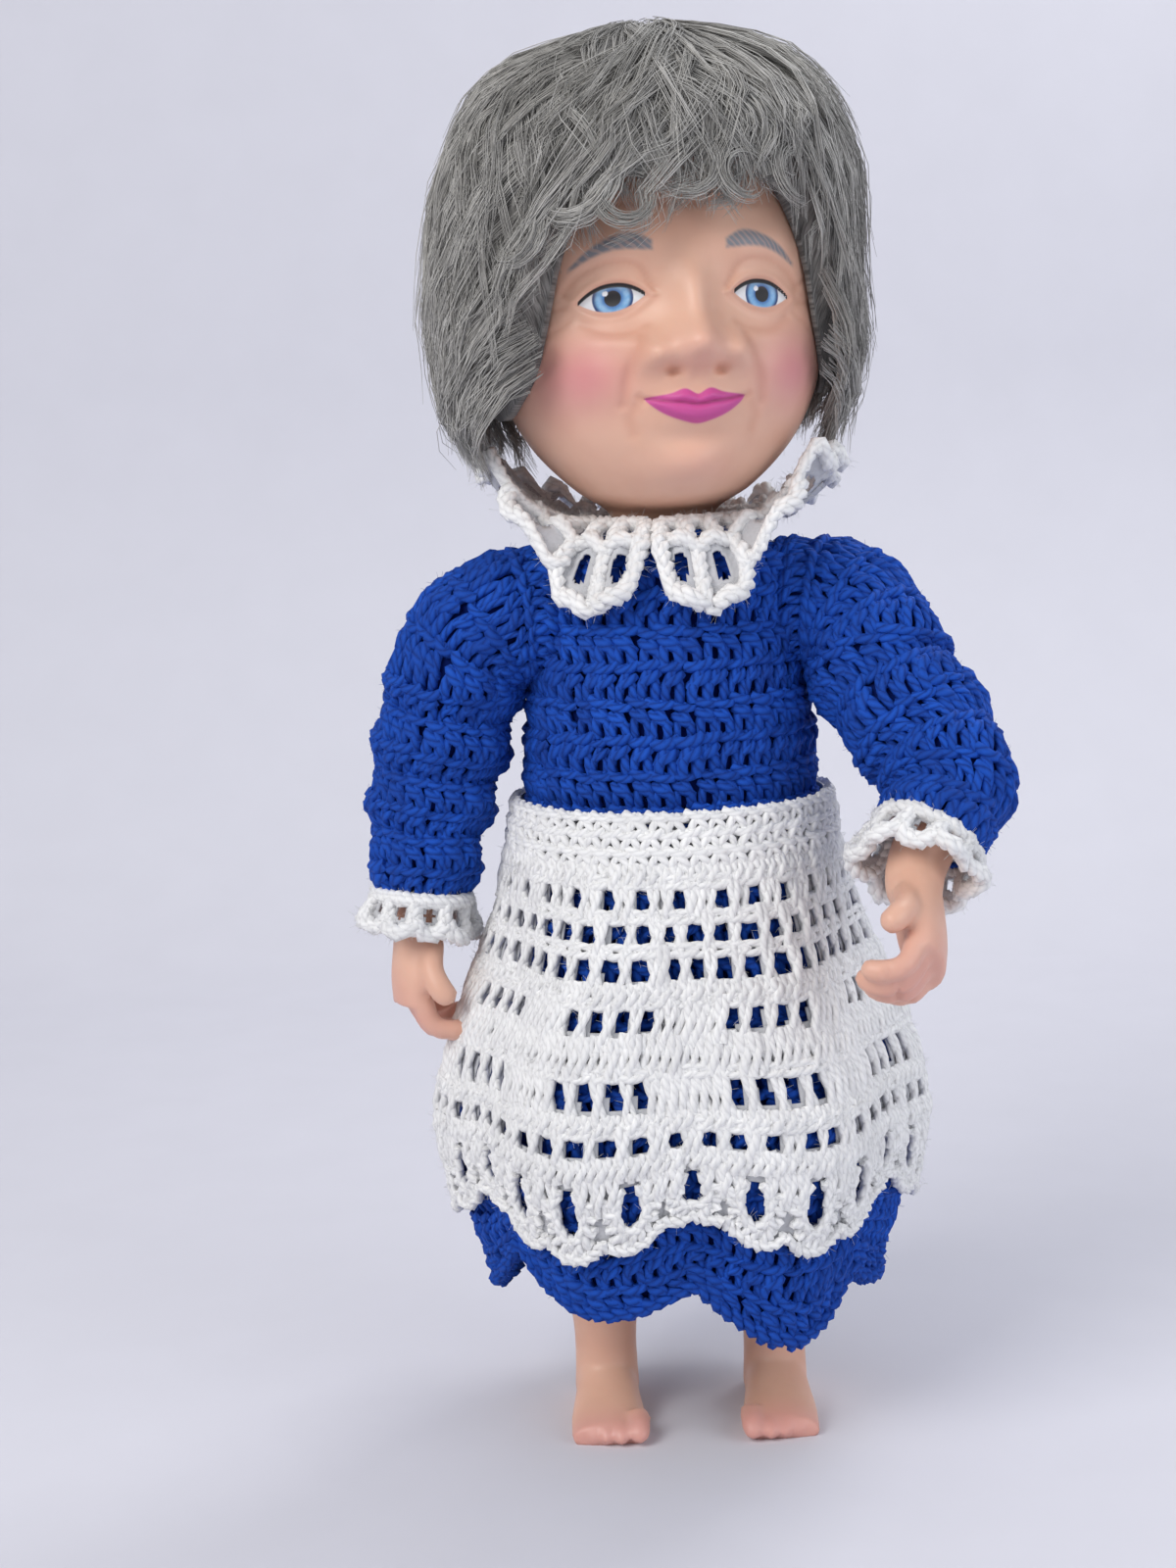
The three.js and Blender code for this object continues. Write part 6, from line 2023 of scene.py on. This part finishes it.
        self.loosen(skein, path + drift * outward, outward, (2.0, 4.5), -0.6, self.flyaways if nodes else 1)
        if curls:
            self.rings(skein, curls)
        settle(skein.sweep(name, self.strand_radius, 3, self.wardrobe.hair), "head", "hair", *nodes)

    def rings(self, skein: Skein, curls: Sequence[Numbers]) -> None:
        """Adds loose ring curls that lie on the hair.

        Args:
            skein: Where the strands go.
            curls: The ring curls.
        """
        t = np.linspace(0, 1, 15)
        lines = []
        for angle, arc, radius, begin, turn in curls:
            phase = np.radians(begin + turn * t)
            size = radius * (1.15 - 0.35 * t)
            down = arc + size * np.sin(phase) / 1.06
            across = radians(angle) + size * np.cos(phase) / (52 * np.sin(np.radians(down)))
            lines.append((across, down))
        across, down = (np.stack(v) for v in zip(*lines))
        out = 12.5 + 2.5 * np.sin(t * pi) + 0 * across
        path = self.at(across, down, out)
        self.loosen(skein, path, unit(self.at(across, down, out + 1) - path), (1.8, 2.8), 0.4, 40)

    def build(self) -> None:
        """Makes the base and all wefts."""
        self.base()
        self.weft("whorl_locks", 86, 46, (0, 360), (1, 15), (), 0.4, 44)
        self.weft("crown_locks", 81, 190, (0, 360), (13, 46), ("crown_weft",), 1.6, 66)
        self.weft("fringe_locks", 82, 125, (-58, 66), (22, 58), ("fringe_weft",), 4.4, 44, self.ring_curls)
        self.weft("left_side_locks", 83, 130, (44, 132), (40, 116), ("left_side_weft",), 3.4, 52)
        self.weft("right_side_locks", 84, 150, (-132, -44), (40, 116), ("right_side_weft",), 3.6, 52)
        self.weft("back_locks", 85, 160, (128, 232), (44, 116), ("back_weft",), 2.6, 50)


@dataclass
class Fastenings:
    """The torso and the buttons, which keep their solids and get their finishes."""

    wardrobe: Wardrobe
    buttons: Sequence[str] = ("back_button_1", "back_button_2", "back_button_3", "waistband_button")

    def build(self) -> None:
        """Dresses the solids that stay."""
        finishes = {"torso": self.wardrobe.vinyl, **dict.fromkeys(self.buttons, self.wardrobe.button)}
        for name, finish in finishes.items():
            node = frame["nodes"][name]
            node.data.materials.clear()
            node.data.materials.append(finish)
            log.info("%s dressed", name)


@dataclass
class Studio:
    """Pale paper sweep, soft lamps and the camera."""

    focal: float = 56.25
    distance: float = 666.0
    height: float = 285.5
    shift_left: float = 23.0
    pitch: float = 9.0
    lean: float = 2.2

    def paper(self) -> None:
        """A floor that curves up into a backdrop."""
        curve = np.linspace(0, pi / 2, 13)[1:]
        depth = np.concatenate([[-1500.0], np.linspace(-600, 500, 12), 500 + 300 * np.sin(curve), [800.0]])
        rise = np.concatenate([np.zeros(13), 300 - 300 * np.cos(curve), [2400.0]])
        grid = stacked(np.linspace(-2200, 2200, 5), depth[:, None], rise[:, None])
        sweep = Mesh().grid(grid, closed=False).object("paper_sweep", PaperFinish("paper").build())

    def lamp(
        self, name: str, place: tuple[float, float, float], size: float, power: float, colour: Colour
    ) -> None:
        """A soft square lamp aimed at the doll's middle."""
        light = bpy.data.lights.new(name, "AREA")
        light.size, light.energy, light.color = size, power, colour
        lamp = linked(name, light)
        lamp.location = place
        aim = Vector((0, 0, 0.2)) - Vector(place)
        lamp.rotation_euler = aim.to_track_quat("-Z", "Y").to_euler()

    def camera(self) -> None:
        """The camera where the photograph was taken."""
        data = bpy.data.cameras.new("camera")
        data.sensor_fit, data.sensor_height, data.lens = "VERTICAL", 36.0, self.focal
        data.clip_start = 0.01
        camera = linked("camera", data)
        camera.location = metres(np.array([-self.shift_left, -self.distance, self.height]))
        tilt = Matrix.Rotation(radians(90 - self.pitch), 4, "X")
        camera.rotation_euler = (tilt @ Matrix.Rotation(radians(-self.lean), 4, "Z")).to_euler()
        bpy.context.scene.camera = camera

    def build(self) -> None:
        """Sets the stage."""
        self.paper()
        self.lamp("window", (-0.9, -0.9, 1.1), 0.9, 15.0, (1.0, 0.98, 0.95))
        self.lamp("fill", (1.0, -0.7, 0.6), 0.9, 5.0, (0.92, 0.95, 1.0))
        self.lamp("back", (0.5, 0.55, 1.0), 0.5, 4.0, (1.0, 1.0, 1.0))
        world = bpy.data.worlds.new("studio")
        world.use_nodes = True
        world.node_tree.nodes["Background"].inputs[0].default_value = (0.86, 0.88, 0.95, 1)
        world.node_tree.nodes["Background"].inputs[1].default_value = 0.46
        scene = bpy.context.scene
        scene.world = world
        scene.view_settings.view_transform = "Standard"
        self.camera()


def main() -> None:
    """Builds the doll, sub-assembly by sub-assembly, and sets the stage."""
    logging.basicConfig(level=logging.INFO, format="%(message)s")
    Studio().build()
    wardrobe = Wardrobe()
    form, head = BodyForm(), HeadForm()
    Head(head, wardrobe).build()
    Wig(head, wardrobe).build()
    Arm(ArmForm(1, 30, 13, 53), wardrobe, "left").build()
    Arm(ArmForm(-1, -12, 1, 61), wardrobe, "right").build()
    Leg(wardrobe, 1, "left").build()
    Leg(wardrobe, -1, "right").build()
    Dress(form, wardrobe).build()
    Apron(form, wardrobe).build()
    Collar(wardrobe, 1).build()
    Collar(wardrobe, -1).build()
    Fastenings(wardrobe).build()


if __name__ == "__main__":
    main()
